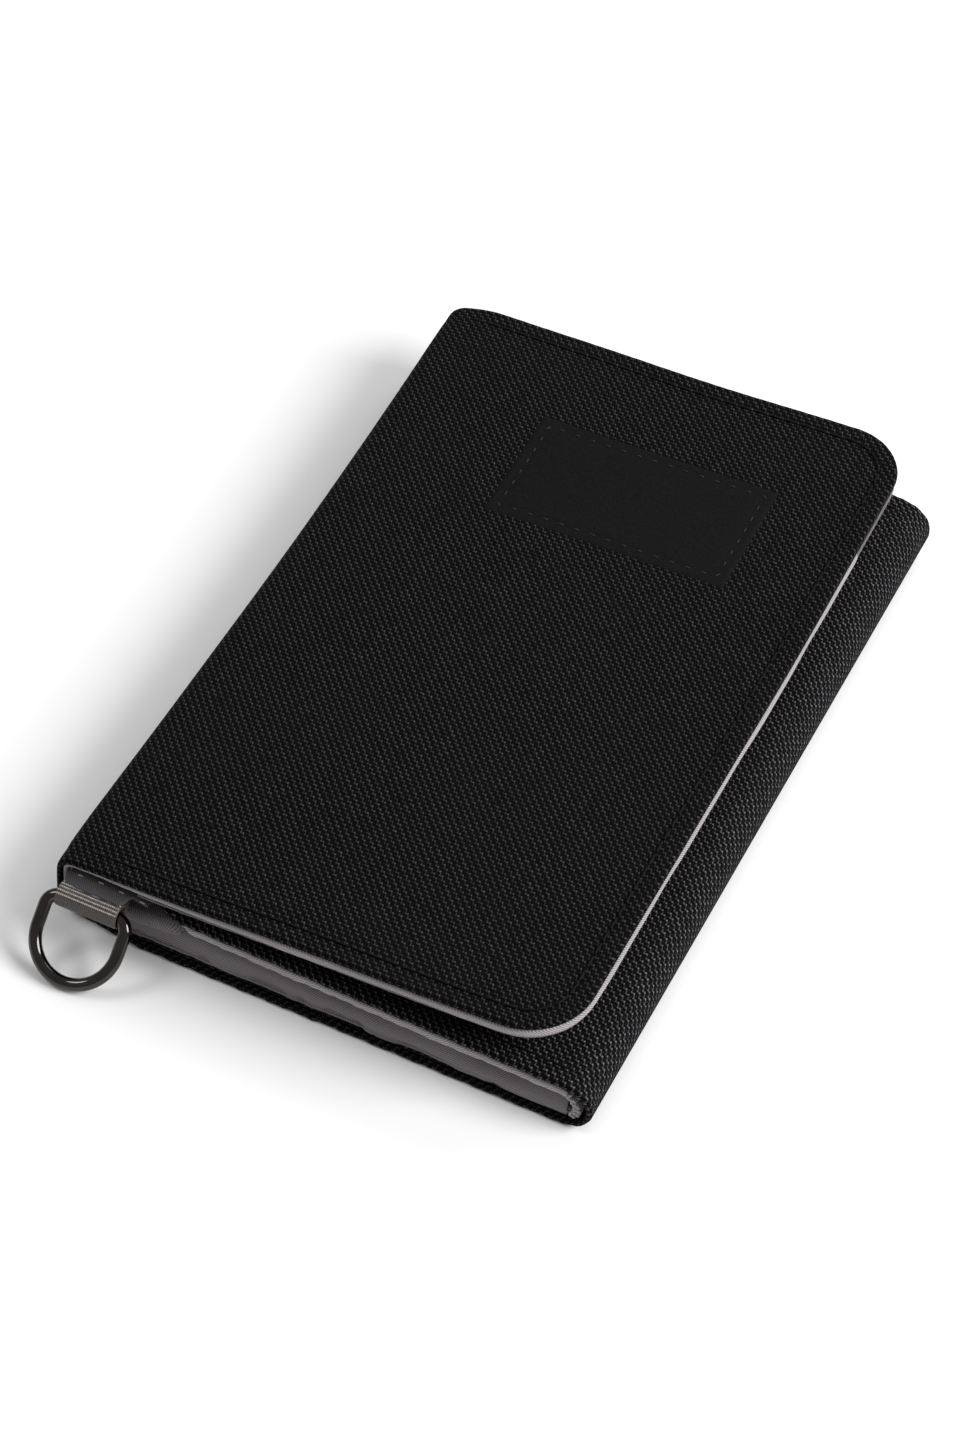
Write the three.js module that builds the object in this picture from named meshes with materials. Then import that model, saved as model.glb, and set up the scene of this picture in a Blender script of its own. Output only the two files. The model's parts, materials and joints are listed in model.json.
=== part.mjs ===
// A three-fold passport holder wallet, lying closed on its back panel.
// Frame: millimetres, X to the right, Y away from the D-ring end, Z up.
// The origin is the middle of the back panel's underside.
import * as THREE from "three";

// ---- driving dimensions ----
const LENGTH = 146; // along the folds, Y
const WIDTH = 96; // outside of the spine to outside of the right fold, X
const SPINE_HEIGHT = 16.5; // closed height at the spine
const FOLD_HEIGHT = 10.2; // closed height at the right fold
const COVER_WIDTH = 91; // spine to the cover's free edge
const WING_GAP = 17; // spine to the wing's free edge
const COVER_TILT = 2.2; // degrees, the closed cover rises towards its free edge
const WING_TILT = 1.6; // degrees, the closed wing rises towards its free edge
const COVER_CORNER = 11; // radius of the cover's free corners
const WING_CORNER = 6; // radius of the wing's free corners
const BACK_CORNER = 2; // radius of the back panel's corners
const HINGE_R = 1.5; // radius of a fold, from its bending line to the outside
const HINGE_GAP = 0.35; // clearance between a fold and the panels beside it
const AIR = 0.05; // clearance between layers laid on each other
const CARD_SLOTS = 4;
const SLOT_PITCH = 0.6; // from one slot to the next above it
const SLOT_GAP = 0.35; // under the lowest slot, where the pockets puff up
const SLOT_STEP = 14; // each slot's mouth stands this far in front of the one behind it
const FIRST_MOUTH_Y = 40;
const NOTE_POCKET_SHORT = 6; // the note pocket's mouth, from the rear edge
const SLEEVE_SETBACK = 12; // the passport sleeve's mouth, from the cover's fold side
const WING_POCKET_SETBACK = 14; // the wing pocket's mouth, from the wing's free edge

// ---- cloth and board thicknesses ----
const SHELL = 1.2; // outer canvas with its turned edge
const BACK_SHELL = 1.4;
const LINING = 0.5;
const FOIL = 0.2;
const COVER_BOARD = 0.8;
const BACK_BOARD = 1.15;
const WING_BOARD = 0.7;
const WALL_BOARD = 0.6; // inside the spine
const TAPE = 2.5; // width of the edge tape round a board
const TAPE_GAP = 0.3; // between the tape and the board inside it

// ---- D-ring and its ribbon ----
const RING_X = -39.9;
const WIRE_R = 1.1;
const RING_HALF = 7.3; // half the ring's width, to the middle of the wire
const RING_REACH = 12.9; // bar to the far side of the ring, middle to middle
const RING_CORNER = 2.2;
const BAR_Y = -LENGTH / 2 - 2.5; // the ring's straight bar, just in front of the seam
const BAR_Z = 9.8;
const RIBBON_WIDTH = 11.2;
const RIBBON = 0.7; // thickness of one layer
const LOOP_R = 1.4; // inside of the loop, round the bar
const RIBBON_TAIL = 12; // length sewn into the front seam
const TAB = 1; // thickness of the tab that closes over the ribbon's tails
const TAB_SIDE = 1.5; // how far tab and gusset reach past the ribbon's side
const TAB_END = 2; // and past the end of its tails

// ---- label on the cover ----
const LABEL_WIDTH = 45.4;
const LABEL_LENGTH = 25.1;
const LABEL_X = 2.75;
const LABEL_Y = 39.65;
const LABEL = 0.5;
const LABEL_CORNER = 2;

const left = -WIDTH / 2;
const right = WIDTH / 2;
const front = -LENGTH / 2;
const rear = LENGTH / 2;
const spineAxisX = left + HINGE_R;
const foldAxisX = right - HINGE_R;
const panelLeft = spineAxisX + HINGE_R + HINGE_GAP;
const panelRight = foldAxisX - HINGE_R - HINGE_GAP;
const coverAxisZ = SPINE_HEIGHT - HINGE_R;
const wingAxisZ = FOLD_HEIGHT - HINGE_R;

const canvas = new THREE.MeshStandardMaterial({ color: 0x121113, roughness: 0.85, metalness: 0 });
const twill = new THREE.MeshStandardMaterial({ color: 0x7b7678, roughness: 0.7, metalness: 0 });
const board = new THREE.MeshStandardMaterial({ color: 0x2c2c2e, roughness: 0.9, metalness: 0 });
const foil = new THREE.MeshStandardMaterial({ color: 0xb9bcc0, roughness: 0.35, metalness: 1 });
const webbing = new THREE.MeshStandardMaterial({ color: 0x6d6a68, roughness: 0.6, metalness: 0 });
const gunmetal = new THREE.MeshStandardMaterial({ color: 0x3b3a3e, roughness: 0.2, metalness: 1 });
const labelBlack = new THREE.MeshStandardMaterial({ color: 0x0d0d0f, roughness: 0.6, metalness: 0 });

function node(name, geometry, material) {
  const mesh = new THREE.Mesh(geometry, material);
  mesh.name = name;
  return mesh;
}

// Rectangle from (x0, y0) to (x1, y1); radii run from the corner (x0, y0) anticlockwise.
function roundedRectangle(x0, y0, x1, y1, radii, Kind = THREE.Shape) {
  const outline = new Kind();
  const corners = [[x0, y0, Math.PI], [x1, y0, 1.5 * Math.PI], [x1, y1, 0], [x0, y1, 0.5 * Math.PI]];
  outline.moveTo(x0, y0 + radii[0]);
  corners.forEach(([x, y, start], i) => {
    const r = radii[i];
    const cx = x + (x === x0 ? r : -r);
    const cy = y + (y === y0 ? r : -r);
    if (i > 0) outline.lineTo(cx + r * Math.cos(start), cy + r * Math.sin(start));
    if (r > 0) outline.absarc(cx, cy, r, start, start + Math.PI / 2, false);
  });
  outline.closePath();
  return outline;
}

// A flat layer: a rounded rectangle from z0 upwards, or only its rim, if it is given a rim width.
function layer({ x0, x1, y0 = front, y1 = rear, z0, thick, radii = [0, 0, 0, 0], rim = 0 }) {
  const outline = roundedRectangle(x0, y0, x1, y1, radii);
  if (rim > 0) {
    const inner = radii.map((r) => Math.max(r - rim, 0));
    outline.holes.push(roundedRectangle(x0 + rim, y0 + rim, x1 - rim, y1 - rim, inner, THREE.Path));
  }
  const settings = { depth: thick, bevelEnabled: false, curveSegments: 8 };
  return new THREE.ExtrudeGeometry(outline, settings).translate(0, 0, z0);
}

// A section drawn in X and Z, run along Y up to the far end.
function lengthwise(outline, depth = LENGTH) {
  const settings = { depth, bevelEnabled: false, curveSegments: 6 };
  const axes = new THREE.Matrix4().makeBasis(
    new THREE.Vector3(1, 0, 0),
    new THREE.Vector3(0, 0, 1),
    new THREE.Vector3(0, -1, 0),
  );
  return new THREE.ExtrudeGeometry(outline, settings).applyMatrix4(axes).translate(0, rear, 0);
}

// The canvas wall of a fold: a C that rolls round the bending lines at its foot and its head.
// side is -1 at the spine and 1 at the right fold.
function foldShell(axisX, height, side) {
  const outline = new THREE.Shape();
  const inner = HINGE_R - SHELL;
  const head = height - HINGE_R;
  const out = side < 0 ? Math.PI : 0;
  outline.moveTo(axisX, 0);
  outline.absarc(axisX, HINGE_R, HINGE_R, 1.5 * Math.PI, out, side < 0);
  outline.absarc(axisX, head, HINGE_R, out, 0.5 * Math.PI, side < 0);
  outline.absarc(axisX, head, inner, 0.5 * Math.PI, out, side > 0);
  outline.absarc(axisX, HINGE_R, inner, out, 1.5 * Math.PI, side > 0);
  outline.closePath();
  return lengthwise(outline);
}

// Flat strips standing inside the spine wall; they stop short of the ribbon's sewn-in tail.
function standingStrip(x0, thick) {
  const outline = roundedRectangle(x0, HINGE_R, x0 + thick, coverAxisZ, [0, 0, 0, 0]);
  return lengthwise(outline, LENGTH - RIBBON_TAIL - TAPE);
}

// Lining gathered in the right fold: a zigzag between its foot and its head.
function gatheredLining() {
  const pleats = 6;
  const depth = 0.7;
  const thick = 0.4;
  const outerX = right - SHELL - AIR;
  const foot = HINGE_R;
  const rise = (wingAxisZ - HINGE_R) / pleats;
  const edge = [];
  for (let i = 0; i <= pleats; i++) edge.push([outerX - (i % 2) * depth, foot + i * rise]);
  const outline = new THREE.Shape();
  edge.forEach(([x, z], i) => (i ? outline.lineTo(x, z) : outline.moveTo(x, z)));
  edge.reverse().forEach(([x, z]) => outline.lineTo(x - thick, z));
  outline.closePath();
  return lengthwise(outline);
}

// ---- back panel: what lies on the table ----
function backPanel() {
  const panel = new THREE.Group();
  const span = { x0: panelLeft, x1: panelRight };
  const radii = [BACK_CORNER, BACK_CORNER, BACK_CORNER, BACK_CORNER];
  const inset = TAPE + TAPE_GAP;
  const inside = { x0: panelLeft + inset, x1: panelRight - inset, y0: front + inset, y1: rear - inset };
  const coreBottom = BACK_SHELL + AIR;
  const core = BACK_BOARD + AIR + FOIL;
  const liningBottom = coreBottom + core + AIR;
  const pocketBottom = liningBottom + LINING + AIR;
  const slotsBottom = pocketBottom + LINING + AIR + SLOT_GAP;
  panel.add(node("back_shell", layer({ ...span, z0: 0, thick: BACK_SHELL, radii }), canvas));
  const edgeTape = layer({ ...span, z0: coreBottom, thick: core, radii, rim: TAPE });
  panel.add(node("back_edge_tape", edgeTape, canvas));
  panel.add(node("back_stiffener", layer({ ...inside, z0: coreBottom, thick: BACK_BOARD }), board));
  const foilBottom = coreBottom + BACK_BOARD + AIR;
  panel.add(node("back_shield_foil", layer({ ...inside, z0: foilBottom, thick: FOIL }), foil));
  panel.add(node("back_lining", layer({ ...span, z0: liningBottom, thick: LINING, radii }), twill));
  const notePocket = layer({ ...span, y1: rear - NOTE_POCKET_SHORT, z0: pocketBottom, thick: LINING });
  panel.add(node("note_pocket_panel", notePocket, twill));
  for (let i = 0; i < CARD_SLOTS; i++) {
    const y1 = FIRST_MOUTH_Y - i * SLOT_STEP;
    const slot = layer({ ...span, y1, z0: slotsBottom + i * SLOT_PITCH, thick: SLOT_PITCH - AIR });
    panel.add(node("card_slot_" + (i + 1), slot, twill));
  }
  const slotsTop = slotsBottom + CARD_SLOTS * SLOT_PITCH;
  panel.add(ringAnchor(slotsTop));
  return panel;
}

// The ribbon loop that holds the D-ring, on a folded gusset and under a small tab.
function ringAnchor(seatZ) {
  const anchor = new THREE.Group();
  const halfRibbon = RIBBON_WIDTH / 2;
  const loopOuter = LOOP_R + RIBBON;
  const tailEnd = front + RIBBON_TAIL;
  const meet = Math.asin(RIBBON / loopOuter);
  const outline = new THREE.Shape();
  outline.moveTo(tailEnd, BAR_Z + RIBBON);
  outline.absarc(BAR_Y, BAR_Z, loopOuter, meet, 2 * Math.PI - meet, false);
  outline.lineTo(tailEnd, BAR_Z - RIBBON);
  outline.closePath();
  outline.holes.push(new THREE.Path().absarc(BAR_Y, BAR_Z, LOOP_R, 0, 2 * Math.PI, false));
  const settings = { depth: RIBBON_WIDTH, bevelEnabled: false, curveSegments: 14 };
  const axes = new THREE.Matrix4().makeBasis(
    new THREE.Vector3(0, 1, 0),
    new THREE.Vector3(0, 0, 1),
    new THREE.Vector3(1, 0, 0),
  );
  const loop = new THREE.ExtrudeGeometry(outline, settings).applyMatrix4(axes);
  loop.translate(RING_X - halfRibbon, 0, 0);
  anchor.add(node("ribbon_loop", loop, webbing));

  const x1 = RING_X + halfRibbon + TAB_SIDE;
  const side = { x0: panelLeft + AIR, x1, y0: front + AIR, y1: tailEnd + TAB_END };
  const gussetThick = BAR_Z - RIBBON - AIR - seatZ;
  anchor.add(node("ribbon_gusset", layer({ ...side, z0: seatZ, thick: gussetThick }), twill));
  anchor.add(node("ribbon_tab", layer({ ...side, z0: BAR_Z + RIBBON + AIR, thick: TAB }), twill));
  return anchor;
}

// ---- spine wall ----
function spineWall() {
  const wall = new THREE.Group();
  const boardX = left + SHELL + AIR;
  wall.add(node("spine_shell", foldShell(spineAxisX, SPINE_HEIGHT, -1), canvas));
  wall.add(node("spine_stiffener", standingStrip(boardX, WALL_BOARD), board));
  wall.add(node("spine_lining", standingStrip(boardX + WALL_BOARD + AIR, LINING), twill));
  return wall;
}

// ---- cover: built flat about its bending line, then tilted to its closed rest ----
function cover() {
  const panel = new THREE.Group();
  const x0 = HINGE_R + HINGE_GAP;
  const x1 = left + COVER_WIDTH - spineAxisX;
  const radii = [0, COVER_CORNER, COVER_CORNER, 0];
  const core = COVER_BOARD + AIR + FOIL;
  const shellBottom = HINGE_R - SHELL;
  const coreBottom = shellBottom - AIR - core;
  const liningBottom = coreBottom - AIR - LINING;
  const inset = TAPE + TAPE_GAP;
  const inside = { x0: x0 + inset, x1: x1 - inset, y0: front + inset, y1: rear - inset };
  const insideRadii = radii.map((r) => Math.max(r - inset, 0));
  const sleeve = { x0: x0 + SLEEVE_SETBACK, x1, z0: liningBottom - AIR - LINING, thick: LINING };
  panel.add(node("cover_shell", layer({ x0, x1, z0: shellBottom, thick: SHELL, radii }), canvas));
  panel.add(node("cover_edge_tape", layer({ x0, x1, z0: coreBottom, thick: core, radii, rim: TAPE }), twill));
  const boardLayer = layer({ ...inside, z0: coreBottom + FOIL + AIR, thick: COVER_BOARD, radii: insideRadii });
  panel.add(node("cover_stiffener", boardLayer, board));
  const foilLayer = layer({ ...inside, z0: coreBottom, thick: FOIL, radii: insideRadii });
  panel.add(node("cover_shield_foil", foilLayer, foil));
  panel.add(node("cover_lining", layer({ x0, x1, z0: liningBottom, thick: LINING, radii }), twill));
  panel.add(node("passport_sleeve", layer({ ...sleeve, radii }), twill));

  const label = layer({
    x0: LABEL_X - LABEL_WIDTH / 2 - spineAxisX,
    x1: LABEL_X + LABEL_WIDTH / 2 - spineAxisX,
    y0: LABEL_Y - LABEL_LENGTH / 2,
    y1: LABEL_Y + LABEL_LENGTH / 2,
    z0: HINGE_R + AIR,
    thick: LABEL,
    radii: [LABEL_CORNER, LABEL_CORNER, LABEL_CORNER, LABEL_CORNER],
  });
  panel.add(node("label_patch", label, labelBlack));
  panel.position.set(spineAxisX, 0, coverAxisZ);
  panel.rotation.y = THREE.MathUtils.degToRad(-COVER_TILT);
  return panel;
}

// ---- right fold wall ----
function foldWall() {
  const wall = new THREE.Group();
  wall.add(node("fold_shell", foldShell(foldAxisX, FOLD_HEIGHT, 1), canvas));
  wall.add(node("fold_lining", gatheredLining(), twill));
  return wall;
}

// ---- wing: the inner leaf, built flat about its bending line, then tilted ----
function wing() {
  const panel = new THREE.Group();
  const x0 = left + WING_GAP - foldAxisX;
  const x1 = -HINGE_R - HINGE_GAP;
  const radii = [WING_CORNER, 0, 0, WING_CORNER];
  const shellBottom = HINGE_R - SHELL;
  const coreBottom = shellBottom - AIR - WING_BOARD;
  const liningBottom = coreBottom - AIR - LINING;
  const inset = TAPE + TAPE_GAP;
  const inside = { x0: x0 + inset, x1: x1 - inset, y0: front + inset, y1: rear - inset };
  const insideRadii = radii.map((r) => Math.max(r - inset, 0));
  panel.add(node("wing_shell", layer({ x0, x1, z0: shellBottom, thick: SHELL, radii }), canvas));
  const edgeTape = layer({ x0, x1, z0: coreBottom, thick: WING_BOARD, radii, rim: TAPE });
  panel.add(node("wing_edge_tape", edgeTape, twill));
  const boardLayer = layer({ ...inside, z0: coreBottom, thick: WING_BOARD, radii: insideRadii });
  panel.add(node("wing_stiffener", boardLayer, board));
  panel.add(node("wing_lining", layer({ x0, x1, z0: liningBottom, thick: LINING, radii }), twill));
  const pocket = { x0: x0 + WING_POCKET_SETBACK, x1, z0: liningBottom - AIR - LINING, thick: LINING };
  panel.add(node("wing_pocket_panel", layer(pocket), twill));
  panel.position.set(foldAxisX, 0, wingAxisZ);
  panel.rotation.y = THREE.MathUtils.degToRad(WING_TILT);
  return panel;
}

// ---- D-ring: a closed round wire along a D, hung from its bar and resting on the table ----
function dRing() {
  const arcStart = RING_REACH - RING_HALF;
  const path = new THREE.Path();
  path.moveTo(-RING_HALF + RING_CORNER, 0);
  path.absarc(RING_HALF - RING_CORNER, RING_CORNER, RING_CORNER, 1.5 * Math.PI, 2 * Math.PI, false);
  path.absarc(0, arcStart, RING_HALF, 0, Math.PI, false);
  path.absarc(-RING_HALF + RING_CORNER, RING_CORNER, RING_CORNER, Math.PI, 1.5 * Math.PI, false);
  const points = path.getPoints(9);
  const centres = points.filter((p, i) => i === 0 || p.distanceTo(points[i - 1]) > 1e-6);
  if (centres[0].distanceTo(centres.at(-1)) < 1e-6) centres.pop();
  const ring = node("d_ring", closedWire(centres, WIRE_R, 12), gunmetal);
  ring.position.set(RING_X, BAR_Y, BAR_Z);
  ring.rotation.x = Math.PI + Math.asin((BAR_Z - WIRE_R) / RING_REACH);
  return ring;
}

// A round wire along a closed flat path in X and Y, with mitred steps.
function closedWire(centres, radius, sides) {
  const vertices = [];
  const faces = [];
  const count = centres.length;
  centres.forEach((p, i) => {
    const before = centres[(i + count - 1) % count];
    const after = centres[(i + 1) % count];
    const incoming = p.clone().sub(before).normalize();
    const outgoing = after.clone().sub(p).normalize();
    const along = incoming.clone().add(outgoing).normalize();
    const stretch = 1 / along.dot(incoming);
    for (let k = 0; k < sides; k++) {
      const a = (2 * Math.PI * k) / sides;
      const across = radius * Math.cos(a) * stretch;
      vertices.push(p.x + along.y * across, p.y - along.x * across, radius * Math.sin(a));
      const next = ((i + 1) % count) * sides;
      const here = i * sides;
      const k1 = (k + 1) % sides;
      faces.push(here + k, next + k, next + k1, here + k, next + k1, here + k1);
    }
  });
  const geometry = new THREE.BufferGeometry();
  geometry.setAttribute("position", new THREE.Float32BufferAttribute(vertices, 3));
  geometry.setIndex(faces);
  return geometry;
}

const group = new THREE.Group();
group.name = "passport_holder_wallet";
group.add(backPanel(), spineWall(), cover(), foldWall(), wing(), dRing());
export default group;
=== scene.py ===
# %% [markdown]
# # A three-fold travel wallet
# The wallet lies closed on its back panel. A cover folds over it from the spine on the left, an inner
# leaf, called the wing here, folds in from the right, and a D-ring hangs from a ribbon at one corner.
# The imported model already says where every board, fold line and ring is. This lesson dresses it in
# cloth: each cell makes one piece of the real wallet around that fixed frame.

# %% Load the frame
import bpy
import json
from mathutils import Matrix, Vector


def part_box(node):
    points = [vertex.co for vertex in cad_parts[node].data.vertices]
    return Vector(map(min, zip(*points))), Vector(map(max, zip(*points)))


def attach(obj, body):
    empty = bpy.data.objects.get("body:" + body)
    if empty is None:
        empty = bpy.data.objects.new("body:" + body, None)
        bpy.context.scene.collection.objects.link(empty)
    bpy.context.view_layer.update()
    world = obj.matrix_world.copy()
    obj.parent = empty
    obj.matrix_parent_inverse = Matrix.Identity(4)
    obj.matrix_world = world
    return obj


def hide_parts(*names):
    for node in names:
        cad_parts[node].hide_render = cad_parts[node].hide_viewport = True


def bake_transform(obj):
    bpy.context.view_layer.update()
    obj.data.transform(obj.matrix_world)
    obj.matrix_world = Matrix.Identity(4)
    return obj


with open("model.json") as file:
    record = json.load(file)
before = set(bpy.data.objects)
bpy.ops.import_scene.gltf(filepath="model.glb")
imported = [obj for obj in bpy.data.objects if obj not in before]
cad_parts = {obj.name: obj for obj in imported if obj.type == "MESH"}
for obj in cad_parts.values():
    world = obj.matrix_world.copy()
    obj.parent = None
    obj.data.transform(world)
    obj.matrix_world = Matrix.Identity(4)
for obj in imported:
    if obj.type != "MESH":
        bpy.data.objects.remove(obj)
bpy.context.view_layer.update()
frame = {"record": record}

import json
import math

import bmesh
import bpy
import numpy as np
from mathutils import Matrix, Vector

MM = 0.001

# %% [markdown]
# ## The sizes everything hangs on
# The fold lines are the hinges of the frame, and the outside of the cloth is the outside of the packed
# shells. So the main lengths are read from the frame, and only cloth thicknesses are chosen here.

# %% Read the driving dimensions
hinge = {j["name"]: Vector(j["pos_m"]) for j in frame["record"]["behaviour"]["joints"]}
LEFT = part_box("spine_shell")[0][0]
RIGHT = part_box("fold_shell")[1][0]
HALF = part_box("back_shell")[1][1]          # half the length along the folds
SPINE_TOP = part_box("spine_shell")[1][2]
FOLD_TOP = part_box("fold_shell")[1][2]
COVER_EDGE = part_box("cover_shell")[1][0]
COVER_RISE = (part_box("cover_shell")[1][2] - SPINE_TOP) / (COVER_EDGE - hinge["cover_fold"].x)
WING_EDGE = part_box("wing_shell")[0][0]
WING_RISE = (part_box("wing_shell")[1][2] - FOLD_TOP) / (hinge["wing_fold"].x - WING_EDGE)

HEAD_R = 3.2 * MM      # outside radius of the cloth round the spine's head
FOOT_R = 3.0 * MM      # and round its foot
FREE_R = 11 * MM       # plan radius of the cover's free corners
WING_R = 6 * MM        # and of the wing's
CANVAS = 1.15 * MM
LINING = 0.5 * MM
BOARD = 0.8 * MM
FOIL = 0.2 * MM
AIR = 0.05 * MM
print("length %.1f mm, width %.1f mm" % (2000 * HALF, 1000 * (RIGHT - LEFT)))

# %% [markdown]
# ## Camera
# A long lens from the near right, about 50 degrees up, shows the cover, the layers along the near edge
# and the round right fold together. The view is worked out from where the camera stands and what it
# looks at, so nothing has to be aimed by eye.

# %% Place the camera
AZIMUTH, ELEVATION, ROLL = 24.3, 48.9, 2.4   # degrees
DISTANCE = 0.6585
FOCUS = Vector((-3.6, -7.0, 5.0)) * MM
LENS_MM = 97.3


def aim(azimuth, elevation):
    a, e = math.radians(azimuth), math.radians(elevation)
    return Vector((math.sin(a) * math.cos(e), -math.cos(a) * math.cos(e), math.sin(e)))


camera_data = bpy.data.cameras.new("camera")
camera_data.lens = LENS_MM
camera_data.sensor_width = 36
camera_data.clip_start = 0.01
camera = bpy.data.objects.new("camera", camera_data)
bpy.context.scene.collection.objects.link(camera)
camera.location = FOCUS + aim(AZIMUTH, ELEVATION) * DISTANCE
toward = (FOCUS - camera.location).to_track_quat("-Z", "Y").to_matrix()
camera.rotation_euler = (toward @ Matrix.Rotation(math.radians(ROLL), 3, "Z")).to_euler()
bpy.context.scene.camera = camera
print("camera", [round(c, 3) for c in camera.location])

# %% [markdown]
# ## Cloth that follows a section
# A folded panel is the same section all along its length, so each layer is a grid: one direction runs
# along a path drawn in X and Z, the other along Y. A path is made of straight stretches and arcs, and
# answers with a point and the direction that faces out. Every layer of a panel uses the same path at
# its own depth, so layers follow each other round a fold without cutting through.


# %% Paths made of lines and arcs
class Section:
    """A path in X and Z, from lines and arcs, with the direction that faces out of the wallet."""

    STEP = 0.05 * MM

    def __init__(self):
        self.points, self.normals = [], []

    def line(self, a, b, normal):
        count = max(2, int(math.dist(a, b) / self.STEP))
        for t in np.linspace(0, 1, count):
            self.points.append((a[0] + (b[0] - a[0]) * t, a[1] + (b[1] - a[1]) * t))
            self.normals.append(normal)
        return self

    def arc(self, centre, radius, start, end):
        count = max(2, int(abs(end - start) * radius / self.STEP))
        for angle in np.linspace(start, end, count):
            n = (math.cos(angle), math.sin(angle))
            self.points.append((centre[0] + radius * n[0], centre[1] + radius * n[1]))
            self.normals.append(n)
        return self

    def close(self):
        p = np.array(self.points)
        s = np.concatenate([[0], np.cumsum(np.linalg.norm(np.diff(p, axis=0), axis=1))])
        keep = np.concatenate([[True], np.diff(s) > 1e-9])
        self.p, self.n, self.s = p[keep], np.array(self.normals)[keep], s[keep]
        self.length = float(self.s[-1])
        return self

    def at(self, s, depth):
        """Points at distance s along the path and at a depth under the outside, for arrays s and depth."""
        x, z = (np.interp(s, self.s, self.p[:, k]) for k in (0, 1))
        nx, nz = (np.interp(s, self.s, self.n[:, k]) for k in (0, 1))
        return np.stack([x - nx * depth, z - nz * depth], -1)

    def reach(self, x):
        """The distance along the path where it gets to the given x."""
        return float(self.s[np.argmin(np.abs(self.p[:, 0] - x))])


# %% [markdown]
# Four paths cover the whole section: cover with the upper half of the spine, lower half of the spine
# with half of the back, the other half of the back with half of the right fold, and the wing. Each
# could be one long list of points, but as lines and arcs they follow the frame when a length changes.


# %% Draw the four paths
def cover_section():
    tilt = math.atan(COVER_RISE)
    cx = LEFT + HEAD_R
    top = SPINE_TOP + (cx - HEAD_R * math.sin(tilt) - hinge["cover_fold"].x) * COVER_RISE
    cz = top - HEAD_R * math.cos(tilt)
    start = (cx - HEAD_R * math.sin(tilt), top)
    end = (COVER_EDGE, top + (COVER_EDGE - start[0]) * COVER_RISE)
    path = Section().line((LEFT, SPINE_TOP / 2), (LEFT, cz), (-1, 0))
    path.arc((cx, cz), HEAD_R, math.pi, math.pi / 2 + tilt)
    return path.line(start, end, (-math.sin(tilt), math.cos(tilt))).close()


def back_left_section():
    path = Section().line((LEFT, SPINE_TOP / 2), (LEFT, FOOT_R), (-1, 0))
    path.arc((LEFT + FOOT_R, FOOT_R), FOOT_R, math.pi, 1.5 * math.pi)
    return path.line((LEFT + FOOT_R, 0), (0, 0), (0, -1)).close()


def back_right_section():
    r = FOLD_TOP / 2
    path = Section().line((0, 0), (RIGHT - r, 0), (0, -1))
    return path.arc((RIGHT - r, r), r, 1.5 * math.pi, 2 * math.pi).close()


def wing_section():
    tilt = math.atan(WING_RISE)
    r = FOLD_TOP / 2
    cx = RIGHT - r
    start = (cx + r * math.sin(tilt), r + r * math.cos(tilt))
    end = (WING_EDGE, start[1] + (start[0] - WING_EDGE) * WING_RISE)
    path = Section().arc((cx, r), r, 0, math.pi / 2 - tilt)
    return path.line(start, end, (math.sin(tilt), math.cos(tilt))).close()


cover_path, back_left_path = cover_section(), back_left_section()
back_right_path, wing_path = back_right_section(), wing_section()
print("cover cloth along its path: %.1f mm" % (cover_path.length * 1000))

# %% [markdown]
# ## Slack
# Real cloth is never ruled straight. One smooth field of small shifts, the same for every layer, leans
# the spine in at mid-length, lets the cover dip between its corners and adds slow ripples. Near the
# ends it also lifts the free corner, sinks and tucks the spine's end, pushes the cover a little askew,
# pulls the wing short of it and frays the cut ends. Because all layers go through the same field, they
# keep their order.

# %% The slack field
LEAN = 1.0 * MM
DIP = 0.8 * MM
RIPPLE = 0.12 * MM
SHORT = 3.2 * MM       # how far the wing and the fold stop short of the cover at the far end
ROUNDED = 2.2 * MM     # how far the far end of the spine is drawn in at its corner
FRAY = 0.09 * MM       # wobble of the cut ends
PERK = 1.0 * MM        # how far the cover's near free corner stands up
STOOP = 1.1 * MM       # how far the near end of the spine sinks
SKEW = 1.0 * MM        # how far the cover's far end is pushed askew
TUCK = 1.3 * MM        # how far the near corner of the spine's head is drawn in
CURL = 2.2 * MM        # how far the foot of the spine draws back at the near end


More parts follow.
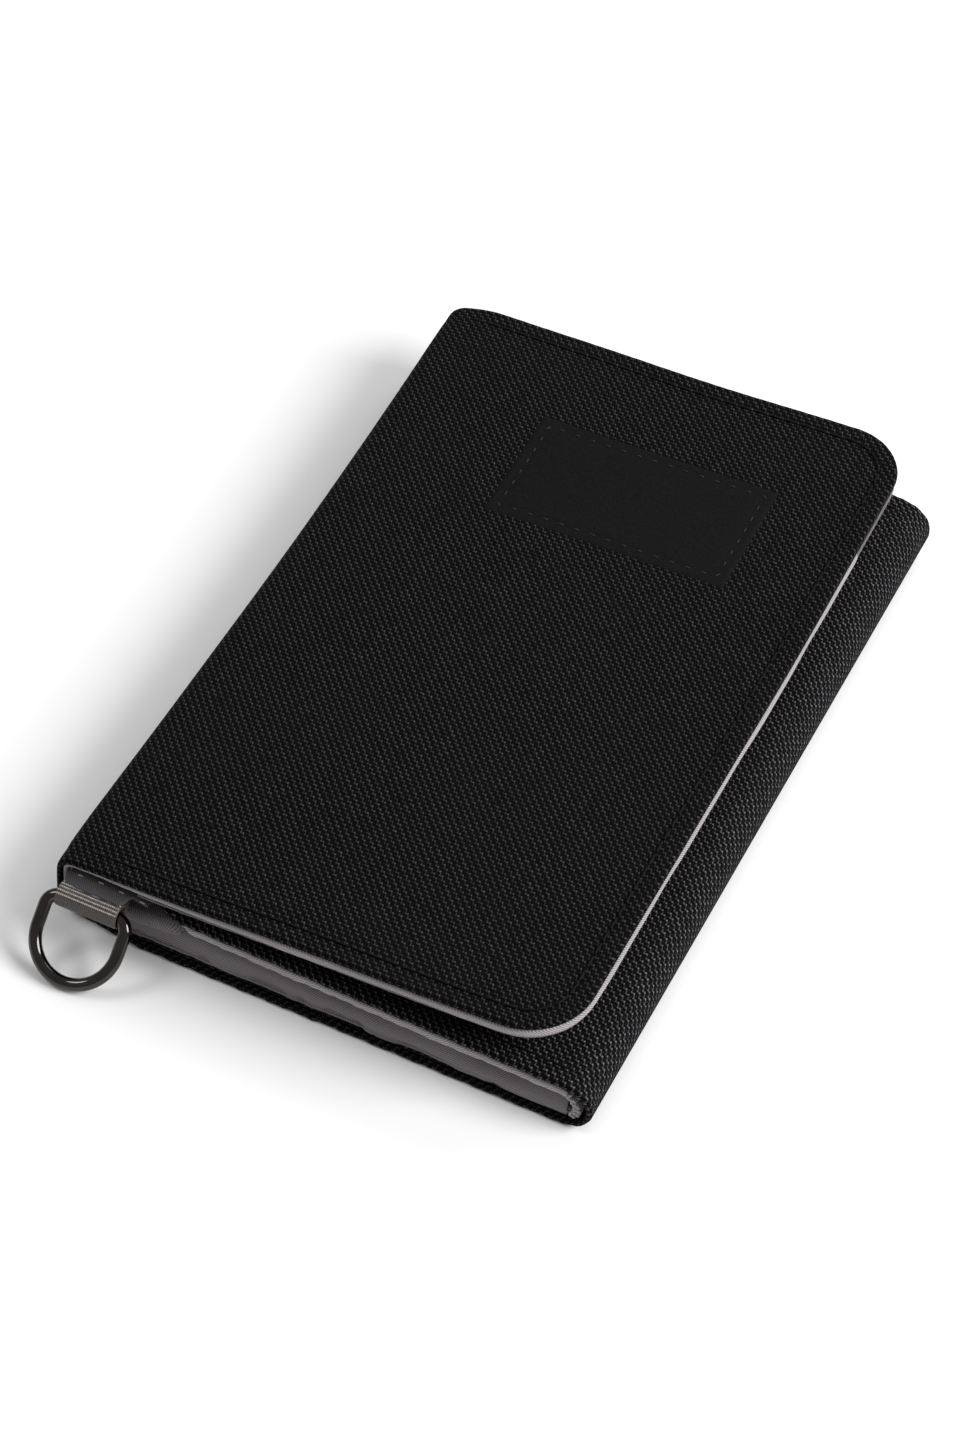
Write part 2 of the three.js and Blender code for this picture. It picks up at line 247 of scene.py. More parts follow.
def settle(p):
    """Moves points of the ruled shape to where slack cloth lies."""
    x, y, z = p[..., 0].copy(), p[..., 1], p[..., 2].copy()
    middle = 1 - (y / HALF) ** 2
    height = np.clip(z / SPINE_TOP, 0, 1.2)
    near_spine = np.exp(-(x - LEFT) / (16 * MM))
    x += LEAN * middle * height * near_spine
    z -= DIP * middle * height**3 * near_spine
    lifted = np.clip((z - FOLD_TOP) / (SPINE_TOP - FOLD_TOP), 0, 1)
    across = np.clip((x - LEFT) / (COVER_EDGE - LEFT), 0, 1)
    z -= 0.5 * MM * lifted * np.sin(math.pi * across) * (0.4 + 0.6 * (y / HALF) ** 2)
    wave = np.sin(x * 95 + 1.3) * np.sin(y * 70 + 0.4) + 0.6 * np.sin(x * 160 - y * 120)
    z += RIPPLE * lifted * wave
    far = np.clip(y / HALF, 0, 1)
    right = np.clip((x - 5 * MM) / (RIGHT - 5 * MM), 0, 1)
    short = SHORT * (1 - lifted) * right * far**3
    corner = np.clip(1 - (x - LEFT) / (11 * MM), 0, 1)
    drawn = ROUNDED * corner**2 * far**14
    ends = np.abs(y / HALF) ** 9
    fray = FRAY * ends * (1 - 0.75 * lifted) * (np.sin(x * 2400 + 1) + 0.7 * np.sin(x * 1030 + z * 300))
    near = np.clip(0.5 - 0.5 * y / HALF, 0, 1)
    z += lifted * near**2 * (PERK * across**2 - STOOP * np.clip(1 - 2.2 * across, 0, 1) ** 2)
    near_end = np.clip(-y / HALF, 0, 1) ** 14
    foot = np.clip(1 - (x - LEFT) / (15 * MM), 0, 1) * np.clip(1.2 - z / (4 * MM), 0, 1) * near_end
    tucked = TUCK * np.clip(1 - (x - LEFT) / (9 * MM), 0, 1) ** 2 * near_end
    x += 0.15 * tucked * height
    x -= SKEW * far**2 * lifted
    y = y - short - drawn + fray + SKEW * far**2 * lifted + CURL * foot + 0.6 * tucked * height
    z -= (0.5 * drawn + 1.2 * tucked) * height
    return np.stack([x, y, z], -1)


# %% [markdown]
# ## A layer with rolled edges
# `slab` turns a grid of points on a layer's outside into a closed piece of cloth: the grid, its copy on
# the inner side, and a half-round roll between them, like a turned hem. A side listed in `plain` stays
# square, because there the cloth runs on into the next piece. The distance along the cloth is kept as a
# UV map in metres, so a weave drawn on it has the same thread size everywhere.

# %% Build a layer
ROLL_STEPS = 3


def outward_on(grid, normals, side):
    """Directions in the cloth, away from it, along one side of the grid."""
    index = {"u0": (0,), "u1": (-1,), "v0": (slice(None), 0), "v1": (slice(None), -1)}[side]
    rim, n = grid[index], normals[index]
    out = np.cross(np.gradient(rim, axis=0), n)
    out /= np.linalg.norm(out, axis=1, keepdims=True) + 1e-12
    inner = grid[{"u0": (1,), "u1": (-2,), "v0": (slice(None), 1), "v1": (slice(None), -2)}[side]]
    away = rim - inner
    flip = np.sum(np.sum(out * away, axis=1)) < 0
    return -out if flip else out


def slab(name, grid, uv, thickness, facing, plain=()):
    """grid: (nu, nv, 3) points of the outside; facing: roughly where its middle looks."""
    nu, nv = grid.shape[:2]
    normals = np.cross(np.gradient(grid, axis=0), np.gradient(grid, axis=1))
    normals /= np.linalg.norm(normals, axis=-1, keepdims=True) + 1e-15
    turned = float(np.dot(normals[nu // 2, nv // 2], facing)) < 0
    if turned:
        normals = -normals
    outs = {side: outward_on(grid, normals, side) for side in ("u0", "u1", "v0", "v1")}
    loop = [(i, 0) for i in range(nu)] + [(nu - 1, j) for j in range(1, nv)]
    loop += [(i, nv - 1) for i in range(nu - 2, -1, -1)] + [(0, j) for j in range(nv - 2, 0, -1)]
    directions = []
    for i, j in loop:
        at_side = {"v0": j == 0, "v1": j == nv - 1, "u0": i == 0, "u1": i == nu - 1}
        sides = [side for side in at_side if at_side[side]]
        found = [outs[side][i if side[0] == "v" else j] for side in sides if side not in plain]
        on_plain = any(side in plain for side in sides)
        corner = i in (0, nu - 1) and j in (0, nv - 1)
        d = sum(found) if found and (corner or not on_plain) else np.zeros(3)
        directions.append(d / max(np.linalg.norm(d), 1e-12) if np.any(d) else d)
    directions = np.array(directions)
    r = np.broadcast_to(np.asarray(thickness) / 2, (nu, nv)).reshape(-1, 1)
    ids = np.array([i * nv + j for i, j in loop])
    top = grid.reshape(-1, 3)
    flat_n = normals.reshape(-1, 3)
    middle = top - flat_n * r
    points = [top, middle - flat_n * r]
    rim_r = r[ids]
    uvs = [uv.reshape(-1, 2), uv.reshape(-1, 2)]
    loops = [ids]
    uv_rim = uv.reshape(-1, 2)[ids]
    uv_out = uv_rim - uv.reshape(-1, 2).mean(axis=0)
    uv_out /= np.linalg.norm(uv_out, axis=1, keepdims=True) + 1e-12
    offset = 2 * nu * nv
    for step in range(1, ROLL_STEPS + 1):
        angle = math.pi / 2 - math.pi * step / (ROLL_STEPS + 1)
        ring = middle[ids] + rim_r * (flat_n[ids] * math.sin(angle) + directions * math.cos(angle))
        points.append(ring)
        uvs.append(uv_rim + uv_out * rim_r * (1 - abs(math.sin(angle))) * 1.5)
        loops.append(np.arange(offset, offset + len(ids)))
        offset += len(ids)
    loops.append(ids + nu * nv)
    faces = []
    for i in range(nu - 1):
        for j in range(nv - 1):
            a, b, c, d = i * nv + j, (i + 1) * nv + j, (i + 1) * nv + j + 1, i * nv + j + 1
            faces.append((a, b, c, d) if not turned else (d, c, b, a))
            a, b, c, d = (k + nu * nv for k in (a, b, c, d))
            faces.append((d, c, b, a) if not turned else (a, b, c, d))
    count = len(ids)
    for upper, lower in zip(loops, loops[1:]):
        for k in range(count):
            m = (k + 1) % count
            quad = (upper[k], lower[k], lower[m], upper[m])
            faces.append(quad if not turned else quad[::-1])
    return cloth_object(name, np.concatenate(points), np.concatenate(uvs), faces)


def cloth_object(name, points, uvs, faces):
    mesh = bpy.data.meshes.new(name)
    mesh.from_pydata(points.tolist(), [], [tuple(int(i) for i in f) for f in faces])
    layer = mesh.uv_layers.new(name="cloth")
    corner = np.zeros(len(mesh.loops), np.int32)
    mesh.loops.foreach_get("vertex_index", corner)
    layer.data.foreach_set("uv", uvs[corner].astype(np.float32).ravel())
    bm = bmesh.new()
    bm.from_mesh(mesh)
    bmesh.ops.remove_doubles(bm, verts=bm.verts, dist=1e-7)
    bmesh.ops.dissolve_degenerate(bm, edges=bm.edges, dist=1e-8)
    bmesh.ops.recalc_face_normals(bm, faces=bm.faces)
    bm.to_mesh(mesh)
    bm.free()
    mesh.shade_smooth()
    mesh.set_sharp_from_angle(angle=math.radians(60))
    piece = bpy.data.objects.new(name, mesh)
    bpy.context.scene.collection.objects.link(piece)
    return piece


# %% [markdown]
# ## Outlines
# The cover and the wing have round free corners. A row of the grid is cut shorter near the corner, by
# the height of a quarter circle, and the rows stand closer together there, so the outline is a true
# arc and the roll of the hem follows it.

# %% Rows, columns and round corners
def rows(inset, corner, spacing=1.0 * MM):
    """Places along Y: even in the middle, and at even angles round the corners."""
    half = HALF - inset
    straight = half - corner
    count = max(2, int(2 * straight / spacing))
    turn = np.sin(np.linspace(0, math.pi / 2, max(3, int(corner / spacing) + 3))[1:]) * corner
    middle = np.linspace(-straight, straight, count)
    return np.concatenate([-(straight + turn)[::-1], middle, straight + turn])


def panel_grid(path, s0, s1, depth, inset=0.0, corner=0.0, spacing=1.0 * MM, relief=None):
    """A grid over a stretch of a path, with round corners at its far end s1."""
    corner = max(corner - inset, 0.3 * MM)
    end = s1 - inset
    y = rows(inset, corner, spacing)
    over = np.clip((np.abs(y) - (HALF - inset - corner)) / corner, 0, 1)
    cut = corner * (1 - np.sqrt(np.clip(1 - over**2, 0, 1)))
    bend = end - corner - 2 * MM
    u = np.concatenate([np.arange(s0, bend, spacing), np.linspace(bend, end, 16)])
    squeeze = np.clip((u - bend) / (end - bend), 0, 1)
    s = u[:, None] - squeeze[:, None] * cut[None, :]
    yy = np.broadcast_to(y, s.shape)
    d = np.full(s.shape, float(depth))
    if relief is not None:
        d += relief(s, yy)
    xz = path.at(s, d)
    p = np.stack([xz[..., 0], yy, xz[..., 1]], -1)
    return settle(p), np.stack([s, yy], -1)


def edge_distance(s, y, length, corner=FREE_R):
    """How far a place on a panel is from its outline, which has round corners at s = length."""
    a, b = length - s, HALF - np.abs(y)
    in_corner = (a < corner) & (b < corner)
    round_part = corner - np.hypot(corner - a, corner - b)
    return np.where(in_corner, round_part, np.minimum(a, b))


# %% [markdown]
# ## Weaves
# The outside is a coarse plain weave: every yarn goes over one and under the next, so the yarns lie on
# top in a chequer. The material rebuilds that from the UV in metres: each crossing has a long soft hill
# for the yarn on top, higher at its right end, a thin link where the twisted yarns touch the next row,
# and a low hill for the yarn underneath. Between them are dark pits. The height drives roughness and
# bump, and colour too: the near-black pits are painted shade, and the lighter yarn tops, lightest at the
# right end of each float, are painted highlights of the key light from the right over black yarn.


# %% A helper for node trees, and the weave
WEFT_PITCH, WARP_PITCH = 0.735 * MM, 0.775 * MM    # from yarn to yarn, along the path and along Y


class Nodes:
    """Builds a material's nodes; every method returns an output socket."""

    def __init__(self, name):
        self.material = bpy.data.materials.new(name)
        self.material.use_nodes = True
        self.tree = self.material.node_tree
        self.shader = self.tree.nodes["Principled BSDF"]

    def make(self, kind, inputs=(), **settings):
        node = self.tree.nodes.new(kind)
        for key, value in settings.items():
            setattr(node, key, value)
        for key, value in dict(inputs).items():
            self.put(node.inputs[key], value)
        return node

    def put(self, socket, value):
        if isinstance(value, bpy.types.NodeSocket):
            self.tree.links.new(value, socket)
        else:
            socket.default_value = value

    def math(self, operation, a, b=0.0, c=0.0):
        return self.make("ShaderNodeMath", {0: a, 1: b, 2: c}, operation=operation).outputs[0]

    def add(self, a, b):
        return self.math("ADD", a, b)

    def times(self, a, b):
        return self.math("MULTIPLY", a, b)

    def mix(self, factor, a, b):
        node = self.make("ShaderNodeMix", {0: factor, 6: a, 7: b}, data_type="RGBA")
        return node.outputs[2]

    def noise(self, vector, scale, detail=2.0, roughness=0.5):
        inputs = {"Vector": vector, "Scale": scale, "Detail": detail, "Roughness": roughness}
        return self.make("ShaderNodeTexNoise", inputs).outputs["Fac"]

    def ramp(self, value, low, high, to_low=0.0, to_high=1.0):
        inputs = {0: value, 1: low, 2: high, 3: to_low, 4: to_high}
        return self.make("ShaderNodeMapRange", inputs, clamp=True).outputs[0]

    def place(self):
        return self.make("ShaderNodeTexCoord").outputs["Object"]

    def cloth(self):
        node = self.make("ShaderNodeUVMap")
        node.uv_map = "cloth"
        parts = self.make("ShaderNodeSeparateXYZ", {0: node.outputs[0]})
        return node.outputs[0], parts.outputs[0], parts.outputs[1]

    def finish(self, color, roughness, height, depth, **uniform):
        self.put(self.shader.inputs["Base Color"], color)
        self.put(self.shader.inputs["Roughness"], roughness)
        inputs = {"Height": height, "Distance": depth, "Strength": 1.0}
        bump = self.make("ShaderNodeBump", inputs)
        self.tree.links.new(bump.outputs[0], self.shader.inputs["Normal"])
        for key, value in uniform.items():
            self.shader.inputs[key.replace("_", " ")].default_value = value
        return self.material


def hill(n, along, across, centre, size):
    """A soft round hill at a place in the crossing: 1 at its centre, near 0 beyond twice its size."""
    a = n.math("DIVIDE", n.math("SUBTRACT", along, centre[0]), size[0])
    b = n.math("DIVIDE", n.math("SUBTRACT", across, centre[1]), size[1])
    squared = n.add(n.times(a, a), n.times(b, b))
    return n.math("EXPONENT", n.times(squared, -1.0))


def plain_weave(n, u, v):
    """Height of the weave at each crossing, highest along the yarn that lies on top."""
    a, b = n.math("DIVIDE", u, WEFT_PITCH), n.math("DIVIDE", v, WARP_PITCH)
    row = n.math("ROUND", b)
    pair = n.times(n.math("SUBTRACT", a, row), 0.5)
    along = n.times(n.math("SUBTRACT", pair, n.math("ROUND", pair)), 2.0)
    across = n.math("SUBTRACT", b, row)
    # Painted light: the high hill sits at the right end of each float and a lower one at its left, so
    # through the colour the right ends are painted lit and the left ends shaded, as by the key from the
    # right.
    hills = [((0.24, 0.0), (0.24, 0.24), 1.0), ((-0.36, 0.03), (0.26, 0.22), 0.55),
             ((0.56, -0.5), (0.13, 0.26), 0.5), ((-0.44, 0.5), (0.13, 0.26), 0.5)]
    height = 0.0
    for centre, size, rise in hills:
        height = n.add(height, n.times(hill(n, along, across, centre, size), rise))
    under = hill(n, n.math("ABSOLUTE", along), across, (1.0, 0.0), (0.22, 0.4))
    return n.add(height, n.times(under, 0.2))


# %% [markdown]
# The wing is the same weave and the same black yarn as the cover, but its yarn colour is raised 2.35
# times: painted light, standing in for the brighter light that falls on the wing, not a lighter cloth.
# Four noises change the tone of single yarns and of whole threads, so no two crossings match.


# %% The canvas


def canvas_material(name, lit):
    """lit: a gain on the colour of the yarn tops; 1 is the cloth's own colour, more paints in extra light.
    """
    n = Nodes(name)
    uv, u, v = n.cloth()
    place = n.place()
    for scale, swing in ((260.0, 0.2), (1300.0, 0.2)):
        sway_u, sway_v = (n.math("MULTIPLY_ADD", n.noise(where, scale, 1.0), swing * MM, -0.5 * swing * MM)
                          for where in (place, uv))
        u, v = n.add(u, sway_u), n.add(v, sway_v)
    height = plain_weave(n, u, v)
    strands = n.noise(place, 5200.0, 1.0)
    yarn = n.noise(place, 1100.0, 1.0)
    warp_tone = n.noise(n.make("ShaderNodeCombineXYZ", {0: u}).outputs[0], 700.0, 2.0)
    weft_tone = n.noise(n.make("ShaderNodeCombineXYZ", {1: v}).outputs[0], 700.0, 2.0)
    drift = n.noise(place, 38.0, 3.0)
    # Painted shade and highlight: the colour follows the height, from near black in the pits to 0.07 on the
    # yarn tops, standing in for shade in the pits and glints on the yarns; the low specular leaves the
    # glints to this colour.
    shade = n.math("POWER", n.ramp(height, 0.1, 1.0), 1.2)
    tones = [(yarn, 0.5, 1.5), (strands, 0.65, 1.35), (warp_tone, 0.8, 1.22), (weft_tone, 0.9, 1.1)]
    for tone, low, high in tones:
        shade = n.times(shade, n.ramp(tone, 0.3, 0.7, low, high))
    color = n.mix(shade, (0.0006, 0.0005, 0.0006, 1), (0.07 * lit, 0.0665 * lit, 0.071 * lit, 1))
    color = n.mix(n.ramp(drift, 0.45, 0.75, 0.0, 0.12), color, (0.009, 0.0072, 0.0066, 1))
    height = n.add(height, n.math("MULTIPLY_ADD", strands, 0.14, -0.07))
    return n.finish(color, n.ramp(height, 0.1, 1.0, 0.95, 0.5), height, 0.2 * MM, Specular_IOR_Level=0.08)


canvas = canvas_material("black_canvas", 1.0)
# Painted light: the wing's copy has its yarn colour raised 2.35 times, to stand in for the light on the
# wing.
wing_cloth_painted_light = canvas_material("black_canvas_wing_painted_light", 2.35)

# %% [markdown]
# The lining is a thin grey twill. Its diagonal is much finer than the canvas, so a sine along the
# diagonal is enough, with slow changes of tone where the cloth has been handled.


# %% The lining
def twill_material(name, light, dark, pitch=0.42 * MM):
    n = Nodes(name)
    uv, u, v = n.cloth()
    place = n.place()
    slant = n.add(u, n.times(v, 0.8))
    ridge = n.math("SINE", n.times(slant, 2 * math.pi / pitch))
    cross = n.math("SINE", n.times(v, 2 * math.pi / (0.5 * pitch)))
    height = n.add(n.math("MULTIPLY_ADD", ridge, 0.4, 0.5), n.times(cross, 0.14))
    fuzz = n.noise(place, 3000.0, 2.0)
    height = n.add(height, n.times(fuzz, 0.25))
    drift = n.noise(place, 60.0, 3.0)
    color = n.mix(n.ramp(height, 0.2, 1.0), dark, light)
    soiled = tuple(0.5 * c for c in light[:3]) + (1,)
    color = n.mix(n.ramp(drift, 0.4, 0.7, 0.0, 0.4), color, soiled)
    return n.finish(color, n.ramp(height, 0.0, 1.0, 0.8, 0.62), height, 0.05 * MM, Sheen_Weight=0.08)


twill = twill_material("grey_twill", (0.19, 0.17, 0.178, 1), (0.045, 0.04, 0.043, 1))
# Painted shade: the tab is the same grey lining, made in this much darker copy because it lies in shade
# under the cover's edge.
tab_twill_painted_shade = twill_material("twill_painted_shade", (0.062, 0.056, 0.06, 1), (0.022, 0.02, 0.022, 1))
edge_twill = twill_material("light_edge_twill", (0.42, 0.39, 0.395, 1), (0.13, 0.118, 0.122, 1))


# %% [markdown]
# The last finishes are simple ones: twisted thread, foam board with fine cells and creased foil. One
# noise each is enough, because they are small or hidden, but each still changes tone and roughness.


# %% Thread, board and foil
def thread_material(name, color):
    n = Nodes(name)
    twist = n.noise(n.place(), 2600.0, 1.0)
    lit = tuple(min(1.0, 1.9 * c) for c in color[:3]) + (1,)
    shades = n.mix(twist, color, lit)
    return n.finish(shades, n.ramp(twist, 0, 1, 0.7, 0.55), twist, 0.05 * MM, Specular_IOR_Level=0.12)


def board_material():
    n = Nodes("foam_board")
    cells = n.noise(n.place(), 1500.0, 3.0)
    color = n.mix(cells, (0.03, 0.03, 0.033, 1), (0.07, 0.07, 0.075, 1))
    return n.finish(color, n.ramp(cells, 0, 1, 0.95, 0.8), cells, 0.1 * MM)


def foil_material():
    n = Nodes("shield_foil")
    creases = n.noise(n.place(), 240.0, 4.0)
    color = n.mix(creases, (0.55, 0.56, 0.58, 1), (0.8, 0.81, 0.83, 1))
    return n.finish(color, n.ramp(creases, 0, 1, 0.25, 0.5), creases, 0.15 * MM, Metallic=1.0)


black_thread = thread_material("black_thread", (0.002, 0.002, 0.0022, 1))
grey_thread = thread_material("grey_thread", (0.2, 0.185, 0.185, 1))
board_stuff, foil_stuff = board_material(), foil_material()


# %% [markdown]
# Every piece needs its finish, the body that moves it, and the imported nodes it stands for. `dress`
# puts them on in one place; a piece that sits across a fold gets no body and stays where it lies.


# %% Put a finish and a body on a piece
def dress(piece, material, slot, body=None, bend=None, nodes=()):
    """Material, record slot (not used), the body it rides on, or a bend (then it stays fixed), and what it
    replaces.
    """
    piece.data.materials.clear()
    piece.data.materials.append(material)
    if bend:
        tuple(bend[2])
        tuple(bend[3])
        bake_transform(piece)
    else:
        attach(piece, body)
    if nodes:
        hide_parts(*nodes)
    return piece


# %% [markdown]
# ## The canvas shell
# The real shell is one piece of canvas. A mesh can bend over one fold only, so here the canvas is four
# lengths that meet where the cloth is straight or out of sight: in the middle of the spine wall, under
# the back panel and in the middle of the right fold. Each is named with the two bodies beside its fold,
# but stays fixed where it lies and rides on neither.
# A shallow valley in the grid shows where the topstitching pulls the canvas down.

# %% Where each fold bends
head_bend = (
    "spine", "cover", (LEFT + 1.0 * MM, 0, SPINE_TOP - 5.0 * MM), (LEFT + 5.0 * MM, 0, SPINE_TOP - 1.0 * MM))
foot_bend = ("spine", "back_panel", (LEFT + 0.8 * MM, 0, 3.6 * MM), (LEFT + 3.8 * MM, 0, 0.6 * MM))
fold_foot_bend = ("back_panel", "right_fold", (RIGHT - 5.0 * MM, 0, 0), (RIGHT - 0.5 * MM, 0, 4.5 * MM))
fold_head_bend = (
    "right_fold", "wing", (RIGHT - 0.5 * MM, 0, FOLD_TOP - 4.5 * MM), (RIGHT - 5.0 * MM, 0, FOLD_TOP))
STITCH_INSET = 3.6 * MM
STITCH, STITCH_PITCH = 2.2 * MM, 2.9 * MM
THREAD = 0.22 * MM     # radius of the topstitching thread
VALLEY = 0.3 * MM


def stitched(length, corner=FREE_R):
    """Depth added along the topstitch line, where the thread pulls the cloth down."""

    def relief(s, y):
        d = edge_distance(s, y, length, corner)
        on_panel = np.clip((s - 14 * MM) / (4 * MM), 0, 1)
        return VALLEY * np.exp(-(((d - STITCH_INSET) / (0.7 * MM)) ** 2)) * (0.35 + 0.65 * on_panel)

    return relief


def canvas_piece(name, path, bend, nodes, facing, corner=0.3 * MM, inset=0.15 * MM, relief=None,
                 plain=("u0",), cloth=None):
    hem = inset + CANVAS / 2
    s1 = path.length + (0 if corner > MM else hem)
    grid, uv = panel_grid(path, 0, s1, 0, inset=hem, corner=corner, spacing=0.9 * MM, relief=relief)
    if path is not cover_path:
        uv = uv * (-1, 1)      # these run the other way round, and the weave leans one way
    piece = slab(name, grid, uv, CANVAS, facing, plain)
    dress(piece, cloth or canvas, "canvas", bend=bend, nodes=nodes)
    return piece


# %% [markdown]
# Each length is now one call. The cover and the wing have round free corners and a stitched valley; the
# two lengths under the back panel have neither, and stay square at both ends where they meet the others.

# %% Sew the four lengths
up = (0, 0, 1)
down = (0, 0, -1)
cover_canvas = canvas_piece(
    "cover_canvas", cover_path, head_bend, ["cover_shell"], up, FREE_R, relief=stitched(cover_path.length))
wing_canvas = canvas_piece(
    "wing_canvas", wing_path, fold_head_bend, ["wing_shell"], up, WING_R,
    relief=stitched(wing_path.length, WING_R), cloth=wing_cloth_painted_light)
back_left = canvas_piece(
    "back_canvas_left", back_left_path, foot_bend, ["spine_shell", "back_shell"], down, inset=0.1 * MM,
    plain=("u0", "u1"))
back_right = canvas_piece(
    "back_canvas_right", back_right_path, fold_foot_bend, ["fold_shell"], down, inset=0.2 * MM,
    plain=("u0", "u1"))
print("canvas pieces:", [len(o.data.polygons) for o in (cover_canvas, wing_canvas, back_left, back_right)])

# %% [markdown]
# ## Boards, foil and linings
# Under the canvas of each panel lie a foam board, in two of them a shielding foil, and the grey lining.
# They are plain sheets at growing depth on the same paths, so they need only a start, an end and a
# depth. The boards stop short of the folds, because that is where the wallet bends.

# %% Lay the layers
TAPE = 2.5 * MM
LINING_DEPTH = CANVAS + BOARD + FOIL + 3 * AIR
COVER_START = cover_path.reach(hinge["cover_fold"].x + 2 * MM)
WING_START = wing_path.reach(hinge["wing_fold"].x - 2 * MM)


def inner_sheet(name, path, s0, s1, depth, thickness, facing, inset, corner=0.3 * MM, plain=()):
    grid, uv = panel_grid(path, s0, s1, depth, inset=inset + thickness / 2, corner=corner, spacing=1.6 * MM)
    return slab(name, grid, uv, thickness, facing, plain)


BOARD_INSET = 2.8 * MM
WING_BOARD = 0.7 * MM
panels = {"cover": (cover_path, COVER_START, FREE_R), "wing": (wing_path, WING_START, WING_R)}
finishes = {"board": board_stuff, "foil": foil_stuff}
layer_list = [
    ("cover_foam", "cover", CANVAS + AIR, BOARD, "board", "cover_stiffener"),
    ("cover_foil", "cover", CANVAS + BOARD + 2 * AIR, FOIL, "foil", "cover_shield_foil"),
    ("wing_foam", "wing", CANVAS + AIR, WING_BOARD, "board", "wing_stiffener"),
]
for name, body, depth, thick, slot, node in layer_list:
    path, start, corner = panels[body]
    piece = inner_sheet(name, path, start, path.length, depth, thick, up, BOARD_INSET, corner)
    dress(piece, finishes[slot], slot, body=body, nodes=[node])

cover_lining = inner_sheet(
    "cover_lining_cloth", cover_path, 0, cover_path.length, LINING_DEPTH, LINING, up, 1.1 * MM, FREE_R,
    ("u0",))
dress(cover_lining, twill, "twill", bend=head_bend, nodes=["cover_lining"])
wing_lining = inner_sheet(
    "wing_lining_cloth", wing_path, WING_START, wing_path.length, CANVAS + WING_BOARD + 2 * AIR, LINING, up,
    1.0 * MM, WING_R)
dress(wing_lining, twill, "twill", body="wing", nodes=["wing_lining"])

# %% [markdown]
# ## Edge tapes
# The light grey band round the cover and along the wing is a tape folded over the edges of board and
# lining. It follows the outline, so it is a ribbon of cloth whose long direction runs along that
# outline and whose short direction points inwards. A slow wobble in its width lets it peek out
# unevenly, as a hand-turned edge does.


# %% Sweep a tape along an outline
def outline_of(s0, s1, corner, inset, step=1.0 * MM):
    """Places (s, y) and inward directions along three sides of a panel with two round corners."""
    end, half, r = s1 - inset, HALF - inset, corner - inset
    straight = np.arange(s0, end - r, step)
    turn = np.linspace(0, math.pi / 2, 14)[1:]
    side = np.arange(-half + r, half - r, step)[1:]
    places = [(s, -half, 0, 1) for s in straight]
    places += [(end - r + r * math.sin(t), -half + r - r * math.cos(t), -math.sin(t), math.cos(t))
               for t in turn]
    places += [(end, y, -1, 0) for y in side]
    places += [(end - r + r * math.cos(t), half - r + r * math.sin(t), -math.cos(t), -math.sin(t))
               for t in np.concatenate([[0], turn])]
    places += [(s, half, 0, -1) for s in straight[::-1]]
    return np.array(places)


def tape(name, path, s0, s1, depth, thickness, facing, tuck=None, width=TAPE, corner=FREE_R, wobble=0.0,
         fullness=None):
    """tuck: how far the tape draws back under the canvas at each place (s, y) of the outline;
    fullness: the share of its thickness that the tape has there."""
    r = thickness / 2
    places = outline_of(s0, s1, corner, r)
    run = np.concatenate([[0], np.cumsum(np.hypot(*np.diff(places[:, :2], axis=0).T))])
    sway = wobble * (np.sin(run * 210) + 0.7 * np.sin(run * 97 + 1.0) + 0.5 * np.sin(run * 431 + 2.0))
    if tuck is not None:
        sway = sway + tuck(places[:, 0], places[:, 1])
    across = np.linspace(0, width - thickness, 4)
    s = places[:, 0][:, None] + places[:, 2][:, None] * (across[None, :] + sway[:, None])
    y = places[:, 1][:, None] + places[:, 3][:, None] * (across[None, :] + sway[:, None])
    xz = path.at(s, np.full(s.shape, depth))
    grid = settle(np.stack([xz[..., 0], y, xz[..., 1]], -1))
    uv = np.stack([np.broadcast_to(across, s.shape), np.broadcast_to(run[:, None], s.shape)], -1)
    if fullness is not None:
        thickness = thickness * np.broadcast_to(fullness(places[:, 0], places[:, 1])[:, None], s.shape)
    return slab(name, grid, uv, thickness, facing, ("u0", "u1"))


WING_TAPE = 1.65 * MM
HIDDEN = 1.1 * MM      # along the far end of the free edge the tape is turned right under


def cover_tuck(s, y):
    far_end = 1 / (1 + np.exp(-(y - 46 * MM) / (0.35 * MM)))
    on_edge = s > cover_path.length - FREE_R
    beyond = np.clip((y - 58 * MM) / (5 * MM), 0, 1)
    return HIDDEN * far_end * on_edge * (1 - 0.35 * beyond)


def cover_fullness(s, y):
    """Thin beside the spine, where the lining curls up, and full from there on."""
    away = np.clip((s - 14 * MM) / (34 * MM), 0, 1)
    return 0.5 + 0.5 * away


cover_tape = tape("cover_edge_binding", cover_path, 0, cover_path.length, CANVAS + AIR,
                  LINING_DEPTH - CANVAS + LINING - AIR, up, cover_tuck, wobble=0.06 * MM,
                  fullness=cover_fullness)
dress(cover_tape, edge_twill, "twill", bend=head_bend, nodes=["cover_edge_tape"])


def wing_tuck(s, y):
    """At the free corners the canvas is wrapped over the tape."""
    corner = np.clip((s - wing_path.length + 8 * MM) / (1.5 * MM), 0, 1)
    return 0.9 * MM * corner


wing_tape = tape("wing_edge_binding", wing_path, wing_path.reach(RIGHT - 4 * MM), wing_path.length,
                 CANVAS + AIR, WING_TAPE, up, wing_tuck, corner=WING_R, wobble=0.06 * MM)
dress(wing_tape, edge_twill, "twill", body="wing", nodes=["wing_edge_tape"])

# %% [markdown]
# ## The back panel's pockets
# On the back panel lie the lining, a full-width note pocket and four card slots, each a little shorter
# than the one under it. They fill the wedge under the wing, so they are spread evenly between the
# lining and the wing's underside.

# %% Pocket layers
BACK_FOAM = 1.15 * MM
floor_of_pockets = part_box("back_lining")[1][2]
panel_left, panel_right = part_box("back_lining")[0][0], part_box("back_lining")[1][0]
wing_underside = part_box("wing_pocket_panel")[0][2]


